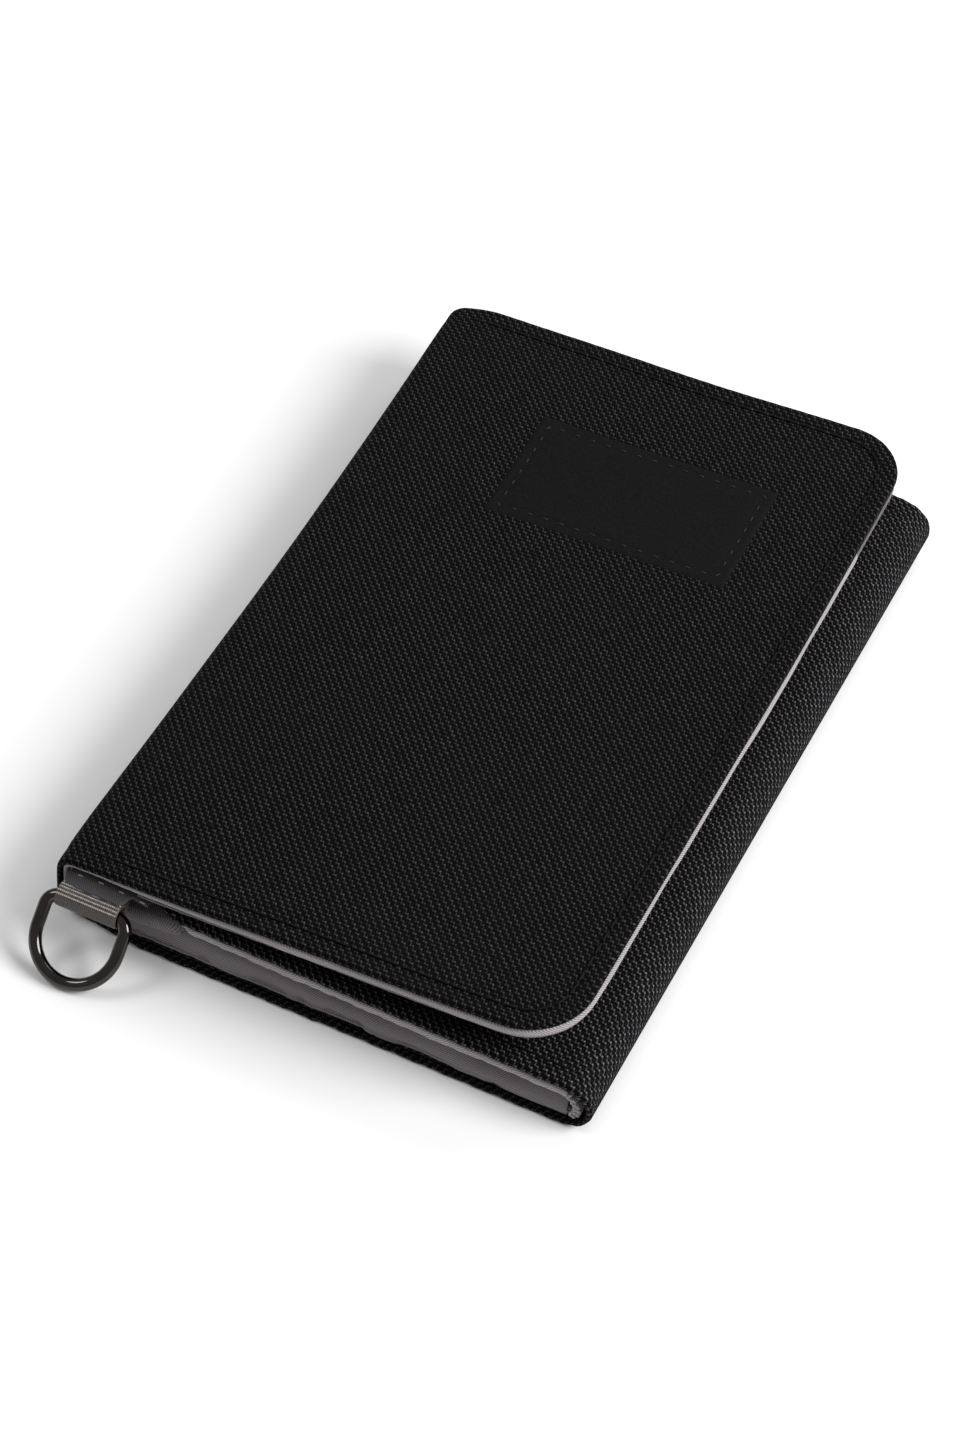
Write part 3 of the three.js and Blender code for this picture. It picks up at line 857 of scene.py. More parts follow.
def pocket_top(x):
    """Height of the puffed pocket stack under the sloping wing."""
    return wing_underside - 0.35 * MM + (panel_right - x) * WING_RISE


def flat_sheet(name, x0, x1, y0, y1, height, thickness, spacing=1.6 * MM, plain=(), recess=None):
    """A sheet over a rectangle, its upper side at height(x, y); recess(x) draws its near edge back."""
    r = thickness / 2
    x = np.linspace(x0 + r, x1 - r, max(4, int((x1 - x0) / spacing)))
    y = np.linspace(y0 + r, y1 - r, max(4, int((y1 - y0) / spacing)))
    xx, yy = np.meshgrid(x, y, indexing="ij")
    if recess is not None:
        yy = yy + recess(xx) * (y1 - yy) / (y1 - y0)
    grid = settle(np.stack([xx, yy, height(xx, yy)], -1))
    return slab(name, grid, np.stack([xx, yy], -1), thickness, up, plain)


def level(z):
    return lambda x, y: np.full(np.shape(x), z)


foam_z, foil_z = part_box("back_stiffener")[1][2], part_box("back_shield_foil")[1][2]
for name, top, thick, slot, node in (("back_foam", foam_z, BACK_FOAM, "board", "back_stiffener"),
                                     ("back_foil", foil_z, FOIL, "foil", "back_shield_foil")):
    piece = flat_sheet(name, panel_left + BOARD_INSET, panel_right - BOARD_INSET, -HALF + BOARD_INSET,
                       HALF - BOARD_INSET, level(top), thick)
    dress(piece, finishes[slot], slot, body="back_panel", nodes=[node])
lining = flat_sheet("back_lining_cloth", panel_left, panel_right, -HALF + 0.6 * MM, HALF - 0.6 * MM,
                    level(floor_of_pockets), LINING)
dress(lining, twill, "twill", body="back_panel", nodes=["back_lining"])

SLOTS = 4
note_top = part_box("note_pocket_panel")


def slot_height(share):
    """Upper side of a slot: share 0 lies on the note pocket, 1 under the wing; soft waves between."""

    def height(x, y):
        base = note_top[1][2]
        wave = 0.12 * MM * np.sin(x * 130 + 5 * share) + 0.08 * MM * np.sin(x * 310 + 2 * share)
        return base + (pocket_top(x) - base) * share + wave * share

    return height


HEM_BACK = 4.5 * MM
note_pocket = flat_sheet("note_pocket_cloth", panel_left, panel_right, -HALF + 0.8 * MM, note_top[1][1],
                         level(note_top[1][2]), LINING)
dress(note_pocket, twill, "twill", body="back_panel", nodes=["note_pocket_panel"])
for i in range(SLOTS):
    name = "card_slot_%d" % (i + 1)
    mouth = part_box(name)[1][1]
    share = (i + 1) / SLOTS
    slot_cloth = flat_sheet(name + "_cloth", panel_left, panel_right, -HALF + HEM_BACK, mouth,
                            slot_height(share), 0.7 * MM)
    dress(slot_cloth, twill, "twill", body="back_panel", nodes=[name])

# %% [markdown]
# The near ends of all the slots are closed by one strip of lining turned over them. It makes the soft
# grey band under the wing. Its section is a path in Y and Z, forward over the stack, round and back
# under it, and slow waves along X push it in and out as real bunched cloth does.

# %% The turned strip over the slots
HEM_CLOTH = 0.6 * MM
HEM_LOW = 1.4 * MM                   # height of its lower edge at the right
CREASES = (-21, -3.5, 7, 31)         # where it is pinched, in mm


def pocket_hem():
    x = np.arange(panel_left + 0.5 * MM, panel_right - 0.8 * MM, 0.7 * MM)
    turn = np.linspace(0, 1, 30)
    rows_of_points = []
    for xi in x:
        top = pocket_top(xi) - 0.45 * MM
        low = HEM_LOW + 1.3 * MM * min(1, max(0, (12 * MM - xi) / (50 * MM)))
        mid, half_height = (top + low) / 2, (top - low) / 2
        bulge = 2.4 * MM + 0.3 * MM * math.sin(xi * 210 + 1) + 0.2 * MM * math.sin(xi * 470)
        creases = sum(math.exp(-(((xi - at * MM) / (1.1 * MM)) ** 2)) for at in CREASES)
        column = []
        for t in turn:
            if t < 0.3:
                y = -HALF + 5.5 * MM - (5.5 * MM - bulge) * (t / 0.3)
                column.append((xi, y, top))
            else:
                a = math.pi / 2 - math.pi * (t - 0.3) / 0.7
                round_part = math.cos(a) ** (1.2 if a > 0 else 0.35)
                dent = 0.3 * MM * math.sin(3 * a + xi * 60) * math.cos(a) ** 2
                sway = 0.3 * MM * (1 + math.sin(xi * 330 + 2 * math.sin(xi * 90)))
                reach = (bulge - 0.5 * MM - 0.3 * MM * creases - sway * 0.6) * round_part
                y = -HALF + bulge - reach - dent * 0.5
                column.append((xi, y, mid + half_height * math.sin(a)))
        rows_of_points.append(column)
    grid = np.array(rows_of_points)
    run = np.concatenate([[0], np.cumsum(np.linalg.norm(np.diff(grid[0], axis=0), axis=1))])
    uv = np.stack(np.meshgrid(x, run, indexing="ij"), -1)
    return slab("pocket_hem", grid, uv, HEM_CLOTH, (0, -1, 0.5))


hem = pocket_hem()
dress(hem, twill, "twill", body="back_panel")

# %% [markdown]
# ## Passport sleeve and wing pocket
# The insides of the cover and of the wing carry one pocket each. They lie under the linings, seen only
# when the wallet is open, and are open on the side towards the fold.

# %% Inner pockets
SLEEVE_START = cover_path.reach(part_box("passport_sleeve")[0][0])
sleeve = inner_sheet("passport_sleeve_cloth", cover_path, SLEEVE_START, cover_path.length,
                     LINING_DEPTH + LINING + AIR, LINING, up, 0.5 * MM, FREE_R)
dress(sleeve, twill, "twill", body="cover", nodes=["passport_sleeve"])
WING_POCKET_END = wing_path.reach(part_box("wing_pocket_panel")[0][0])
wing_pocket = inner_sheet("wing_pocket_cloth", wing_path, WING_START, WING_POCKET_END,
                          CANVAS + WING_BOARD + LINING + 3 * AIR, LINING, up, 0.5 * MM)
dress(wing_pocket, twill, "twill", body="wing", nodes=["wing_pocket_panel"])

# %% [markdown]
# ## Black edge of the back panel
# The canvas of the back panel is turned over its board, which makes the black edge under the grey
# stack twice as thick as the canvas alone.

# %% Turned edge
TURN = 6 * MM          # how far the canvas is turned in
TURN_THICK = 1.5 * MM
edge_top = level(floor_of_pockets - LINING - 2 * AIR)
for name, y0, y1, nodes in (("back_edge_turn", -HALF + 0.9 * MM, -HALF + TURN, ["back_edge_tape"]),
                            ("back_edge_turn_rear", HALF - TURN, HALF, [])):
    turned_edge = flat_sheet(name, panel_left, panel_right, y0, y1, edge_top, TURN_THICK)
    dress(turned_edge, canvas, "canvas", body="back_panel", nodes=nodes)

# %% [markdown]
# ## Gathered lining in the right fold
# Where the wing turns over, the lining is longer than the way it has to go, so it gathers in small
# pleats that show as a zigzag at the end of the fold.

# %% Pleats
PLEATS = 5
PLEAT_DEPTH = 1.5 * MM
GATHER = 0.55 * MM


def gathered_lining():
    foot, head = 2.6 * MM, FOLD_TOP - 2.4 * MM
    t = np.linspace(0, 1, PLEATS * 10 + 1)
    z = foot + (head - foot) * t
    swing = np.arcsin(np.sin(t * PLEATS * 2 * math.pi)) / (math.pi / 2)
    x = RIGHT - 2.5 * MM + 0.5 * PLEAT_DEPTH * swing - 1.1 * MM * (2 * t - 1) ** 2
    y = rows(0.5 * MM, 0.5 * MM, 2.0 * MM)
    xx = x[:, None] + 0.18 * MM * np.sin(y[None, :] * 260 + 5 * t[:, None])
    grid = settle(np.stack([xx, np.broadcast_to(y, xx.shape), np.broadcast_to(z[:, None], xx.shape)], -1))
    run = np.concatenate([[0], np.cumsum(np.hypot(np.diff(x), np.diff(z)))])
    uv = np.stack([np.broadcast_to(run[:, None], xx.shape), np.broadcast_to(y, xx.shape)], -1)
    return slab("fold_gathered_lining", grid, uv, GATHER, (1, 0, 0))


fold_lining = gathered_lining()
dress(fold_lining, edge_twill, "twill", body="right_fold", nodes=["fold_lining"])

# %% [markdown]
# ## Spine lining
# Behind the spine's canvas stand a thin board and the lower half of the lining, which runs down the
# wall and onto the back panel.

# %% Spine layers
def standing_sheet(name, x, z0, z1, y0, y1, thickness):
    r = thickness / 2
    z = np.linspace(z0 + r, z1 - r, 12)
    y = np.arange(y0 + r, y1 - r, 1.6 * MM)
    zz, yy = np.meshgrid(z, y, indexing="ij")
    grid = settle(np.stack([np.full(zz.shape, x), yy, zz], -1))
    return slab(name, grid, np.stack([zz, yy], -1), thickness, (1, 0, 0))


spine_foam = standing_sheet("spine_foam", LEFT + CANVAS + AIR + 0.6 * MM, 3.4 * MM, SPINE_TOP - 4.6 * MM,
                            -HALF + BOARD_INSET, HALF - BOARD_INSET, 0.6 * MM)
dress(spine_foam, board_stuff, "board", body="spine", nodes=["spine_stiffener"])
LOWER_REACH = back_left_path.reach(panel_left + 4 * MM)
lower_lining = inner_sheet("spine_lining_cloth", back_left_path, 0, LOWER_REACH, LINING_DEPTH, LINING, down,
                           1.6 * MM, plain=("u0",))
dress(lower_lining, twill, "twill", bend=foot_bend, nodes=["spine_lining"])

# %% [markdown]
# ## Ribbon loop and D-ring
# A ribbed ribbon goes round the ring's straight bar and back into the seam. Its path is drawn in Y and
# Z: a tail, most of a turn round the bar, and the other tail. The ribs are a repeat along that path, so
# Geometry Nodes lay them.

# %% The ribbon's path
bar = hinge["ring_swing"]
ribbon_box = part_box("ribbon_loop")
RIBBON = 0.5 * MM
RIBBON_OUT = 2.1 * MM                            # outside radius of the loop
LOOP_Y, LOOP_Z = bar.y + 0.4 * MM, bar.z + 0.1 * MM    # the ring's weight holds its bar low in the loop


def ribbon_line(radius, steps=40):
    """Points (y, z) of the ribbon at a radius from the loop's middle: lower tail, loop, upper tail."""
    tail = ribbon_box[1][1]
    gap = 0.3 * MM + (radius - RIBBON_OUT)
    meet = math.asin(min(0.95, (gap + RIBBON) / radius))
    points = [(tail, LOOP_Z - gap - RIBBON)]
    for a in np.linspace(2 * math.pi - meet, meet, steps):
        points.append((LOOP_Y + radius * math.cos(a), LOOP_Z + radius * math.sin(a)))
    points.append((tail, LOOP_Z + gap + RIBBON))
    return np.array(points)


def resample(points, step):
    s = np.concatenate([[0], np.cumsum(np.linalg.norm(np.diff(points, axis=0), axis=1))])
    t = np.linspace(0, s[-1], max(2, int(s[-1] / step)))
    return np.stack([np.interp(t, s, points[:, k]) for k in range(points.shape[1])], -1), t


def ribbon_cloth():
    line, run = resample(ribbon_line(RIBBON_OUT), 0.25 * MM)
    x = np.linspace(ribbon_box[0][0] + RIBBON / 2, ribbon_box[1][0] - RIBBON / 2, 24)
    yy, zz = (np.broadcast_to(line[:, k][:, None], (len(line), len(x))) for k in (0, 1))
    grid = np.stack([np.broadcast_to(x, yy.shape), yy, zz], -1)
    uv = np.stack([np.broadcast_to(run[:, None], yy.shape), np.broadcast_to(x, yy.shape)], -1)
    return slab("ribbon_loop_cloth", grid, uv, RIBBON, (0, -1, 0))


# %% [markdown]
# `run_along` is the one tree that lays everything that repeats along a line: stitches and ribs. It
# spaces points along a curve, puts a small arched piece of thread on each, turned along the curve and
# with its arch away from the cloth, and turns the result into real mesh.


# %% Geometry Nodes: lay pieces along a line
def run_along_tree():
    tree = bpy.data.node_groups.new("run_along", "GeometryNodeTree")
    face = tree.interface
    face.new_socket("Geometry", in_out="INPUT", socket_type="NodeSocketGeometry")
    for label in ("Spacing", "Length", "Arch", "Thread Radius"):
        face.new_socket(label, in_out="INPUT", socket_type="NodeSocketFloat")
    face.new_socket("Away", in_out="INPUT", socket_type="NodeSocketVector")
    face.new_socket("Sideways", in_out="INPUT", socket_type="NodeSocketBool")
    face.new_socket("Material", in_out="INPUT", socket_type="NodeSocketMaterial")
    face.new_socket("Geometry", in_out="OUTPUT", socket_type="NodeSocketGeometry")
    new, link = tree.nodes.new, tree.links.new
    given, result = new("NodeGroupInput"), new("NodeGroupOutput")
    to_curve, spaced = new("GeometryNodeMeshToCurve"), new("GeometryNodeResampleCurve")
    spaced.mode = "LENGTH"
    link(given.outputs["Geometry"], to_curve.inputs["Mesh"])
    link(to_curve.outputs["Curve"], spaced.inputs["Curve"])
    link(given.outputs["Spacing"], spaced.inputs["Length"])
    half, back = new("ShaderNodeMath"), new("ShaderNodeMath")
    half.operation, back.operation = "MULTIPLY", "MULTIPLY"
    half.inputs[1].default_value, back.inputs[1].default_value = 0.5, -0.5
    link(given.outputs["Length"], half.inputs[0])
    link(given.outputs["Length"], back.inputs[0])
    ends = []
    for source, axis in ((back.outputs[0], "X"), (given.outputs["Arch"], "Z"), (half.outputs[0], "X")):
        point = new("ShaderNodeCombineXYZ")
        link(source, point.inputs[axis])
        ends.append(point)
    thread = new("GeometryNodeCurveQuadraticBezier")
    round_section, body = new("GeometryNodeCurvePrimitiveCircle"), new("GeometryNodeCurveToMesh")
    thread.inputs["Resolution"].default_value = 5
    round_section.inputs["Resolution"].default_value = 6
    for socket, point in zip(("Start", "Middle", "End"), ends):
        link(point.outputs[0], thread.inputs[socket])
    link(given.outputs["Thread Radius"], round_section.inputs["Radius"])
    link(thread.outputs[0], body.inputs["Curve"])
    link(round_section.outputs[0], body.inputs["Profile Curve"])
    body.inputs["Fill Caps"].default_value = True
    tangent = new("GeometryNodeInputTangent")
    crossed, chosen = new("ShaderNodeVectorMath"), new("GeometryNodeSwitch")
    crossed.operation = "CROSS_PRODUCT"
    chosen.input_type = "VECTOR"
    link(tangent.outputs[0], crossed.inputs[0])
    link(given.outputs["Away"], crossed.inputs[1])
    link(given.outputs["Sideways"], chosen.inputs["Switch"])
    link(tangent.outputs[0], chosen.inputs["False"])
    link(crossed.outputs[0], chosen.inputs["True"])
    along, upright = new("FunctionNodeAlignRotationToVector"), new("FunctionNodeAlignRotationToVector")
    along.axis, upright.axis, upright.pivot_axis = "X", "Z", "X"
    link(chosen.outputs[0], along.inputs["Vector"])
    link(along.outputs[0], upright.inputs["Rotation"])
    link(given.outputs["Away"], upright.inputs["Vector"])
    laid, real = new("GeometryNodeInstanceOnPoints"), new("GeometryNodeRealizeInstances")
    paint = new("GeometryNodeSetMaterial")
    link(spaced.outputs[0], laid.inputs["Points"])
    link(body.outputs[0], laid.inputs["Instance"])
    link(upright.outputs[0], laid.inputs["Rotation"])
    link(laid.outputs[0], real.inputs[0])
    link(real.outputs[0], paint.inputs["Geometry"])
    link(given.outputs["Material"], paint.inputs["Material"])
    link(paint.outputs[0], result.inputs[0])
    return tree


run_along = run_along_tree()


def lay_along(name, lines, spacing, length, radius, material, away=(0, 0, 1), arch=0.0, sideways=False,
              closed=False):
    """Runs the tree on one or more polylines and keeps the result as a plain mesh."""
    mesh = bpy.data.meshes.new(name + "_line")
    points, edges = [], []
    for line in lines:
        first = len(points)
        points += [tuple(p) for p in line]
        edges += [(first + i, first + i + 1) for i in range(len(line) - 1)]
        if closed:
            edges.append((len(points) - 1, first))
    mesh.from_pydata(points, edges, [])
    maker = bpy.data.objects.new(name + "_maker", mesh)
    bpy.context.scene.collection.objects.link(maker)
    modifier = maker.modifiers.new("run_along", "NODES")
    modifier.node_group = run_along
    values = {"Spacing": spacing, "Length": length, "Arch": arch, "Thread Radius": radius, "Away": away,
              "Sideways": sideways, "Material": material}
    for socket in run_along.interface.items_tree:
        if socket.in_out == "INPUT" and socket.name in values:
            modifier[socket.identifier] = values[socket.name]
    bpy.context.view_layer.update()
    evaluated = maker.evaluated_get(bpy.context.evaluated_depsgraph_get())
    made = bpy.data.meshes.new_from_object(evaluated)
    made.name = name
    made.shade_smooth()
    piece = bpy.data.objects.new(name, made)
    bpy.context.scene.collection.objects.link(piece)
    bpy.data.objects.remove(maker)
    return piece


# %% [markdown]
# The ribbon is a darker, browner grey than the lining, and slightly shiny. Its ribs are laid only over the
# top of the loop and coloured about six times lighter than the ribbon: painted highlights where the ribs
# catch the light.


# %% Ribbon finish and ribbon
def webbing_material(name, light, dark):
    n = Nodes(name)
    place = n.place()
    parts = n.make("ShaderNodeSeparateXYZ", {0: place})
    grain = n.math("SINE", n.times(parts.outputs[0], 2 * math.pi / (0.34 * MM)))
    fuzz = n.noise(place, 2500.0, 2.0)
    height = n.add(n.times(grain, 0.35), fuzz)
    color = n.mix(n.ramp(height, 0.1, 1.0), dark, light)
    return n.finish(color, n.ramp(fuzz, 0, 1, 0.6, 0.4), height, 0.05 * MM, Sheen_Weight=0.1)


webbing = webbing_material("ribbed_ribbon", (0.08, 0.068, 0.059, 1), (0.022, 0.018, 0.016, 1))
# Painted highlight: the rib cords are ribbon yarn coloured far lighter, to stand in for the light lines the
# ribs catch.
rib_highlight_cords = webbing_material("rib_cords_painted_highlight", (0.5, 0.45, 0.4, 1), (0.12, 0.105, 0.093, 1))
RIB = 0.56 * MM
RIBS = 5
ribbon = ribbon_cloth()
dress(ribbon, webbing, "webbing", body="back_panel", nodes=["ribbon_loop"])
RIBBON_WIDTH = ribbon_box[1][0] - ribbon_box[0][0]
# The ribs are laid only over the top of the loop, where the light catches them.
rib_line, _ = resample(ribbon_line(RIBBON_OUT)[::-1], 0.2 * MM)
first_rib = np.argmax(rib_line[:, 0] < LOOP_Y + 1.2 * MM)
rib_line = rib_line[first_rib:first_rib + int(RIBS * RIB / (0.2 * MM))]
rib_x = (ribbon_box[0][0] + ribbon_box[1][0]) / 2
ribs = lay_along(
    "ribbon_ribs", [[(rib_x, y, z) for y, z in rib_line]], RIB, RIBBON_WIDTH - 0.3 * MM, 0.16 * MM,
    rib_highlight_cords, away=(0, -1, 0.4), sideways=True)
dress(ribs, rib_highlight_cords, "webbing", body="back_panel")
print("ribs:", len(ribs.data.polygons), "faces")


# %% [markdown]
# The D-ring is a bent wire: a straight bar inside the ribbon, short corners and a half circle. Its centre
# line is drawn flat, swept with a round section and leaned until its far end touches the table. It rides
# on the frame's ring body, so it swings about its own bar.


# %% The D-ring
def ring_centre_line(half, reach, corner, steps=20):
    """A D in the plane of the ring: straight bar, short corners, then a half circle."""
    points = []
    for a in np.linspace(1.5 * math.pi, 2 * math.pi, steps // 2):
        points.append((half - corner + corner * math.cos(a), corner + corner * math.sin(a)))
    for a in np.linspace(0, math.pi, 3 * steps):
        points.append((half * math.cos(a), reach - half + half * math.sin(a)))
    for a in np.linspace(math.pi, 1.5 * math.pi, steps // 2):
        points.append((-half + corner + corner * math.cos(a), corner + corner * math.sin(a)))
    for t in np.linspace(0, 1, 8)[1:-1]:
        points.append(((-half + corner) * (1 - 2 * t), 0.0))
    return np.array(points)


WIRE = 1.1 * MM             # radius of the ring's wire
RING_REACH = 12.9 * MM      # from the bar's centre line to the far one
RING_CORNER = 2.2 * MM


def d_ring():
    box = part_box("d_ring")
    half = (box[1][0] - box[0][0]) / 2 - WIRE
    droop = math.asin((bar.z - WIRE) / RING_REACH)
    flat = ring_centre_line(half, RING_REACH, RING_CORNER)
    count, sides = len(flat), 20
    ahead = np.roll(flat, -1, axis=0) - np.roll(flat, 1, axis=0)
    ahead /= np.linalg.norm(ahead, axis=1, keepdims=True)
    side = np.stack([ahead[:, 1], -ahead[:, 0]], -1)
    points = []
    for (cx, cv), (sx, sv) in zip(flat, side):
        for k in range(sides):
            a = 2 * math.pi * k / sides
            x, v, w = cx + WIRE * math.cos(a) * sx, cv + WIRE * math.cos(a) * sv, WIRE * math.sin(a)
            y = bar.y - v * math.cos(droop) + w * math.sin(droop)
            z = bar.z - v * math.sin(droop) - w * math.cos(droop)
            points.append((bar.x + x, y, z))
    faces = []
    for i in range(count):
        for k in range(sides):
            a, b = i * sides, (i + 1) % count * sides
            faces.append((a + k, b + k, b + (k + 1) % sides, a + (k + 1) % sides))
    return cloth_object("d_ring_wire", np.array(points), np.zeros((len(points), 2)), faces)


def gunmetal_material():
    n = Nodes("gunmetal")
    place = n.place()
    smears = n.noise(place, 260.0, 4.0)
    scuffs = n.noise(place, 1400.0, 2.0)
    color = n.mix(smears, (0.032, 0.029, 0.028, 1), (0.088, 0.081, 0.077, 1))
    rough = n.add(n.ramp(smears, 0.3, 0.7, 0.06, 0.12), n.ramp(scuffs, 0.6, 0.8, 0.0, 0.08))
    return n.finish(color, rough, scuffs, 0.006 * MM, Metallic=1.0)


gunmetal = gunmetal_material()
dress(d_ring(), gunmetal, "gunmetal", body="ring", nodes=["d_ring"])

# %% [markdown]
# ## Tab and gusset
# The ribbon's tails are sewn between a folded gusset of lining, which ramps up from the pocket stack,
# and a small tab that closes over them and is held by a row of light stitches.

# %% Tab and gusset
gusset_box, tab_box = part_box("ribbon_gusset"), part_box("ribbon_tab")
SEAT = LOOP_Z - 1.3 * MM
RAMP = 8.5 * MM
GUSSET = 2.6 * MM


def ramp(x):
    """0 under the ribbon, 1 past the gusset's soft slope."""
    past = np.clip((x - ribbon_box[1][0] - 0.3 * MM) / RAMP, 0, 1)
    return past * past * (3 - 2 * past)


def gusset_height(x, y):
    """Upper side of the gusset: level under the ribbon, then a soft slope down to the pocket stack."""
    return SEAT * (1 - ramp(x)) + (pocket_top(x) + 0.35 * MM) * ramp(x)


gusset = flat_sheet("ribbon_gusset_cloth", panel_left - 1.0 * MM, ribbon_box[1][0] + RAMP + 1.0 * MM,
                    -HALF + 0.2 * MM, gusset_box[1][1], gusset_height, GUSSET, 0.8 * MM)
dress(gusset, twill, "twill", body="back_panel", nodes=["ribbon_gusset"])

TAB = 0.6 * MM
TAB_FRONT = LOOP_Y + 0.3 * MM      # the tab closes over the back half of the loop
TAB_LEFT = panel_left - 1.2 * MM
TAB_RIGHT = ribbon_box[1][0] + 0.42 * RAMP
CLEARANCE = 2.3 * MM               # how far its edge is drawn back beside the ribbon


def tab_height(x, y):
    lift = np.clip((y - TAB_FRONT) / (5 * MM), 0, 1)
    closed = LOOP_Z + RIBBON_OUT + 0.7 * MM + 0.5 * MM * lift + 0.12 * MM * np.sin(x * 420)
    return closed * (1 - ramp(x)) + (gusset_height(x, y) + 0.4 * MM) * ramp(x)


def tab_recess(x):
    """Past the ribbon's sides the tab's edge stays clear of the ring's swing."""
    right_side = np.clip((x - ribbon_box[1][0] + 0.4 * MM) / (0.8 * MM), 0, 1)
    left_side = np.clip((ribbon_box[0][0] + 0.4 * MM - x) / (0.8 * MM), 0, 1)
    return CLEARANCE * (right_side + left_side)


tab = flat_sheet("ribbon_tab_cloth", TAB_LEFT, TAB_RIGHT, TAB_FRONT, tab_box[1][1], tab_height, TAB,
                 0.5 * MM, recess=tab_recess)
# The tab wears the darker twill copy: painted shade for the shade it lies in.
dress(tab, tab_twill_painted_shade, "twill", body="back_panel", nodes=["ribbon_tab"])
tab_x = np.linspace(panel_left + 1.5 * MM, tab_box[1][0] + 1.0 * MM, 12)
tab_y = np.full(12, -HALF + 0.6 * MM)
tab_row = settle(np.stack([tab_x, tab_y, tab_height(tab_x, tab_y) + 0.05 * MM], -1))
tab_stitches = lay_along(
    "ribbon_tab_stitches", [tab_row], 3.6 * MM, 0.9 * MM, 0.15 * MM, grey_thread, arch=0.12 * MM)
dress(tab_stitches, grey_thread, "twill", body="back_panel")

# %% [markdown]
# ## Label
# A smooth black patch sits on the cover near its far end, sewn round its edge. It is left blank. Its
# surface is a dense satin, so beside the canvas it looks flat and even.


# %% Label patch
def label_material():
    n = Nodes("label_satin")
    uv, u, v = n.cloth()
    place = n.place()
    lines = n.math("SINE", n.times(v, 2 * math.pi / (0.22 * MM)))
    fuzz = n.noise(place, 2200.0, 3.0)
    height = n.add(n.times(lines, 0.25), fuzz)
    color = n.mix(n.ramp(height, 0.2, 1.1), (0.0012, 0.0012, 0.0015, 1), (0.0074, 0.0072, 0.0082, 1))
    return n.finish(color, n.ramp(fuzz, 0, 1, 0.85, 0.65), height, 0.03 * MM, Specular_IOR_Level=0.1)


label_stuff = label_material()
label_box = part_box("label_patch")
LABEL = 0.5 * MM
LABEL_STITCH = 2.0 * MM


def label_patch():
    s0, s1 = cover_path.reach(label_box[0][0]), cover_path.reach(label_box[1][0])
    r = LABEL / 2
    s = np.linspace(s0 + r, s1 - r, 60)
    y = np.linspace(label_box[0][1] + r, label_box[1][1] - r, 40)
    ss, yy = np.meshgrid(s, y, indexing="ij")
    rim = np.minimum(np.minimum(ss - s0, s1 - ss), np.minimum(yy - label_box[0][1], label_box[1][1] - yy))
    pull = 0.16 * MM * np.exp(-(((rim - LABEL_STITCH) / (0.5 * MM)) ** 2))
    pull = pull + 0.12 * MM * np.exp(-rim / (0.6 * MM))
    xz = cover_path.at(ss, -0.22 * MM + pull)
    grid = settle(np.stack([xz[..., 0], yy, xz[..., 1]], -1))
    return slab("label_patch_satin", grid, np.stack([ss, yy], -1), LABEL, up), (s0, s1)


label, (label_s0, label_s1) = label_patch()
dress(label, label_stuff, "label", body="cover", nodes=["label_patch"])

# %% [markdown]
# ## Topstitching
# A row of stitches runs a few millimetres inside the edges of the cover and of the wing, and round the
# label. Each row is a list of places on the panel; the tree lays a short arched thread on each.


# %% Stitch rows
def on_panel(path, places, lift):
    """Points of a row of (s, y) places, just above the cloth."""
    s, y = np.array(places).T
    xz = path.at(s, np.full(len(s), -lift))
    return settle(np.stack([xz[:, 0], y, xz[:, 1]], -1))


def stitch_row(name, path, corner, start, body, inset=STITCH_INSET, lift=-0.06 * MM):
    places = outline_of(start, path.length, corner, inset)[:, :2]
    row = lay_along(
        name, [on_panel(path, places, lift)], STITCH_PITCH, STITCH, THREAD, black_thread, arch=0.2 * MM)
    return dress(row, black_thread, "canvas", body=body)


stitch_row("cover_topstitch", cover_path, FREE_R, cover_path.reach(LEFT + 7 * MM), "cover")
stitch_row("wing_topstitch", wing_path, WING_R, wing_path.reach(RIGHT - 7 * MM), "wing")
print("topstitching:", STITCH_INSET / MM, "mm inside the edges")


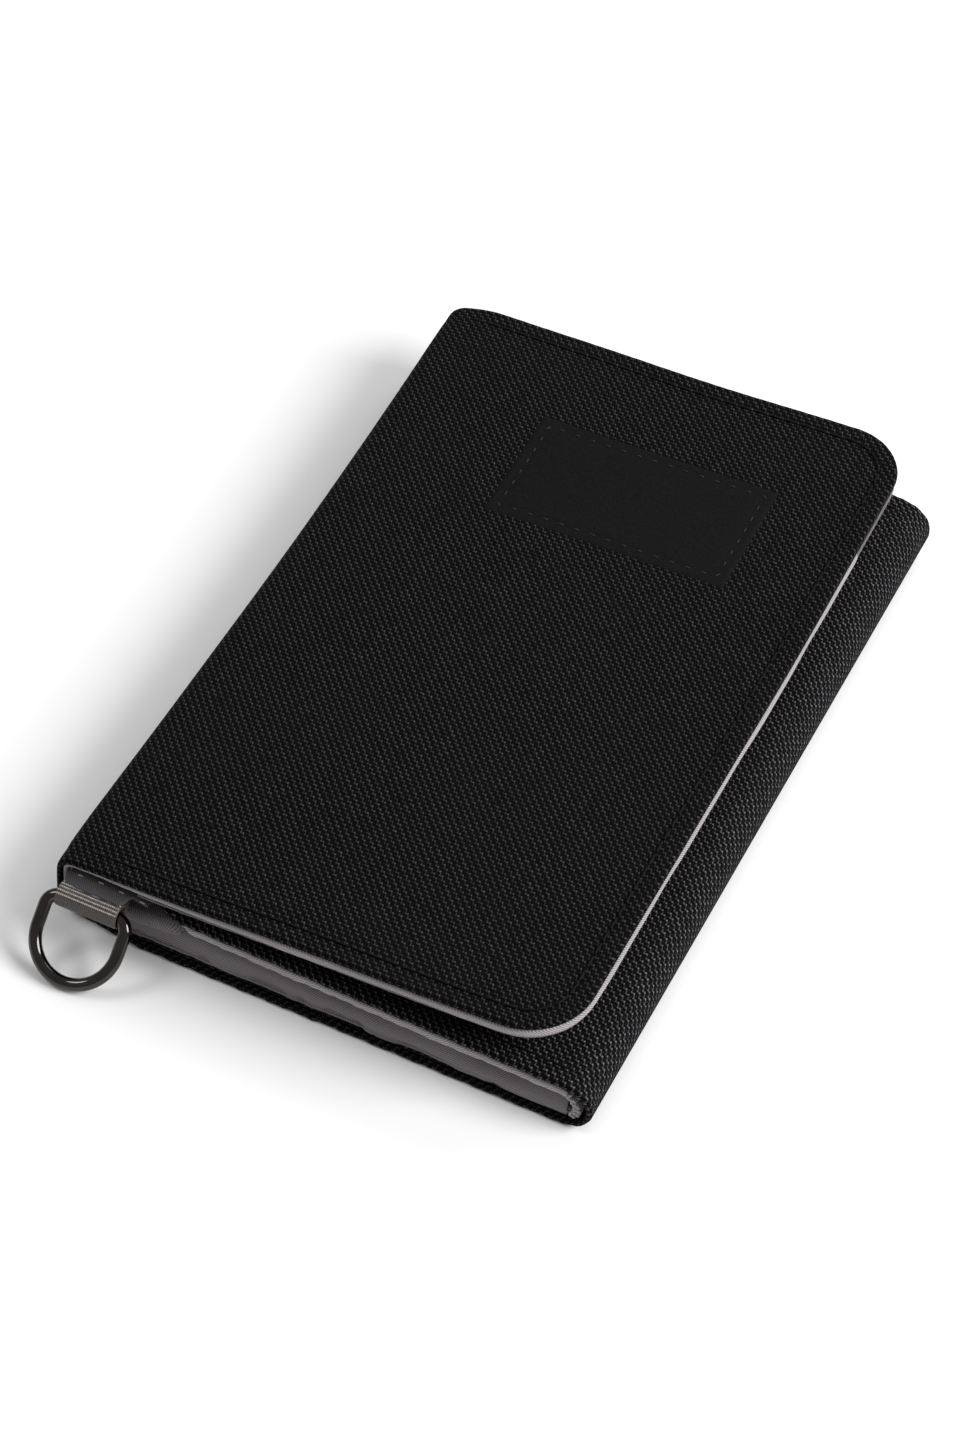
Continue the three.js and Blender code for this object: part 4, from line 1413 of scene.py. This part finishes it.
def label_row():
    a, b = label_s0 + LABEL_STITCH, label_s1 - LABEL_STITCH
    c, d = label_box[0][1] + LABEL_STITCH, label_box[1][1] - LABEL_STITCH
    corners = [(a, c), (b, c), (b, d), (a, d), (a, c)]
    places = []
    for (s0, y0), (s1, y1) in zip(corners, corners[1:]):
        for t in np.linspace(0, 1, 30)[:-1]:
            places.append((s0 + (s1 - s0) * t, y0 + (y1 - y0) * t))
    return on_panel(cover_path, places, 0.07 * MM)


label_thread = thread_material("label_thread", (0.014, 0.0135, 0.0145, 1))
label_stitches = lay_along(
    "label_stitches", [label_row()], 3.0 * MM, 0.8 * MM, 0.16 * MM, label_thread, arch=0.2 * MM, closed=True)
dress(label_stitches, label_thread, "label", body="cover")

# %% [markdown]
# ## Light and floor
# A black object on a pale floor needs broad, soft light: a large key from the right and behind, which
# grazes the weave and lights the edge tapes, a weaker fill from the left and an even pale surround.

# %% Stage
floor_mesh = bpy.data.meshes.new("floor")
SIZE = 3.0
corners = [(-SIZE, -SIZE, 0), (SIZE, -SIZE, 0), (SIZE, SIZE, 0), (-SIZE, SIZE, 0)]
floor_mesh.from_pydata(corners, [], [(0, 1, 2, 3)])
floor = bpy.data.objects.new("floor", floor_mesh)
floor.location.z = -0.0001
bpy.context.scene.collection.objects.link(floor)
floor_stuff = Nodes("pale_floor")
floor_stuff.shader.inputs["Base Color"].default_value = (0.86, 0.86, 0.86, 1)
floor_stuff.shader.inputs["Roughness"].default_value = 0.9
floor.data.materials.append(floor_stuff.material)


def soft_light(name, azimuth, elevation, distance, size, watts):
    data = bpy.data.lights.new(name, "AREA")
    data.shape, data.size, data.energy = "DISK", size, watts
    lamp = bpy.data.objects.new(name, data)
    lamp.location = aim(azimuth, elevation) * distance
    lamp.rotation_euler = (-lamp.location).to_track_quat("-Z", "Y").to_euler()
    bpy.context.scene.collection.objects.link(lamp)


soft_light("key", 95, 38, 0.9, 0.55, 9.5)
soft_light("back", 165, 45, 0.9, 0.5, 2.5)
soft_light("fill", -75, 50, 1.0, 0.35, 2.0)
world = bpy.data.worlds.new("studio")
bpy.context.scene.world = world
world.use_nodes = True
world.node_tree.nodes["Background"].inputs["Color"].default_value = (1, 1, 1, 1)
world.node_tree.nodes["Background"].inputs["Strength"].default_value = 0.36
bpy.context.scene.view_settings.view_transform = "Standard"
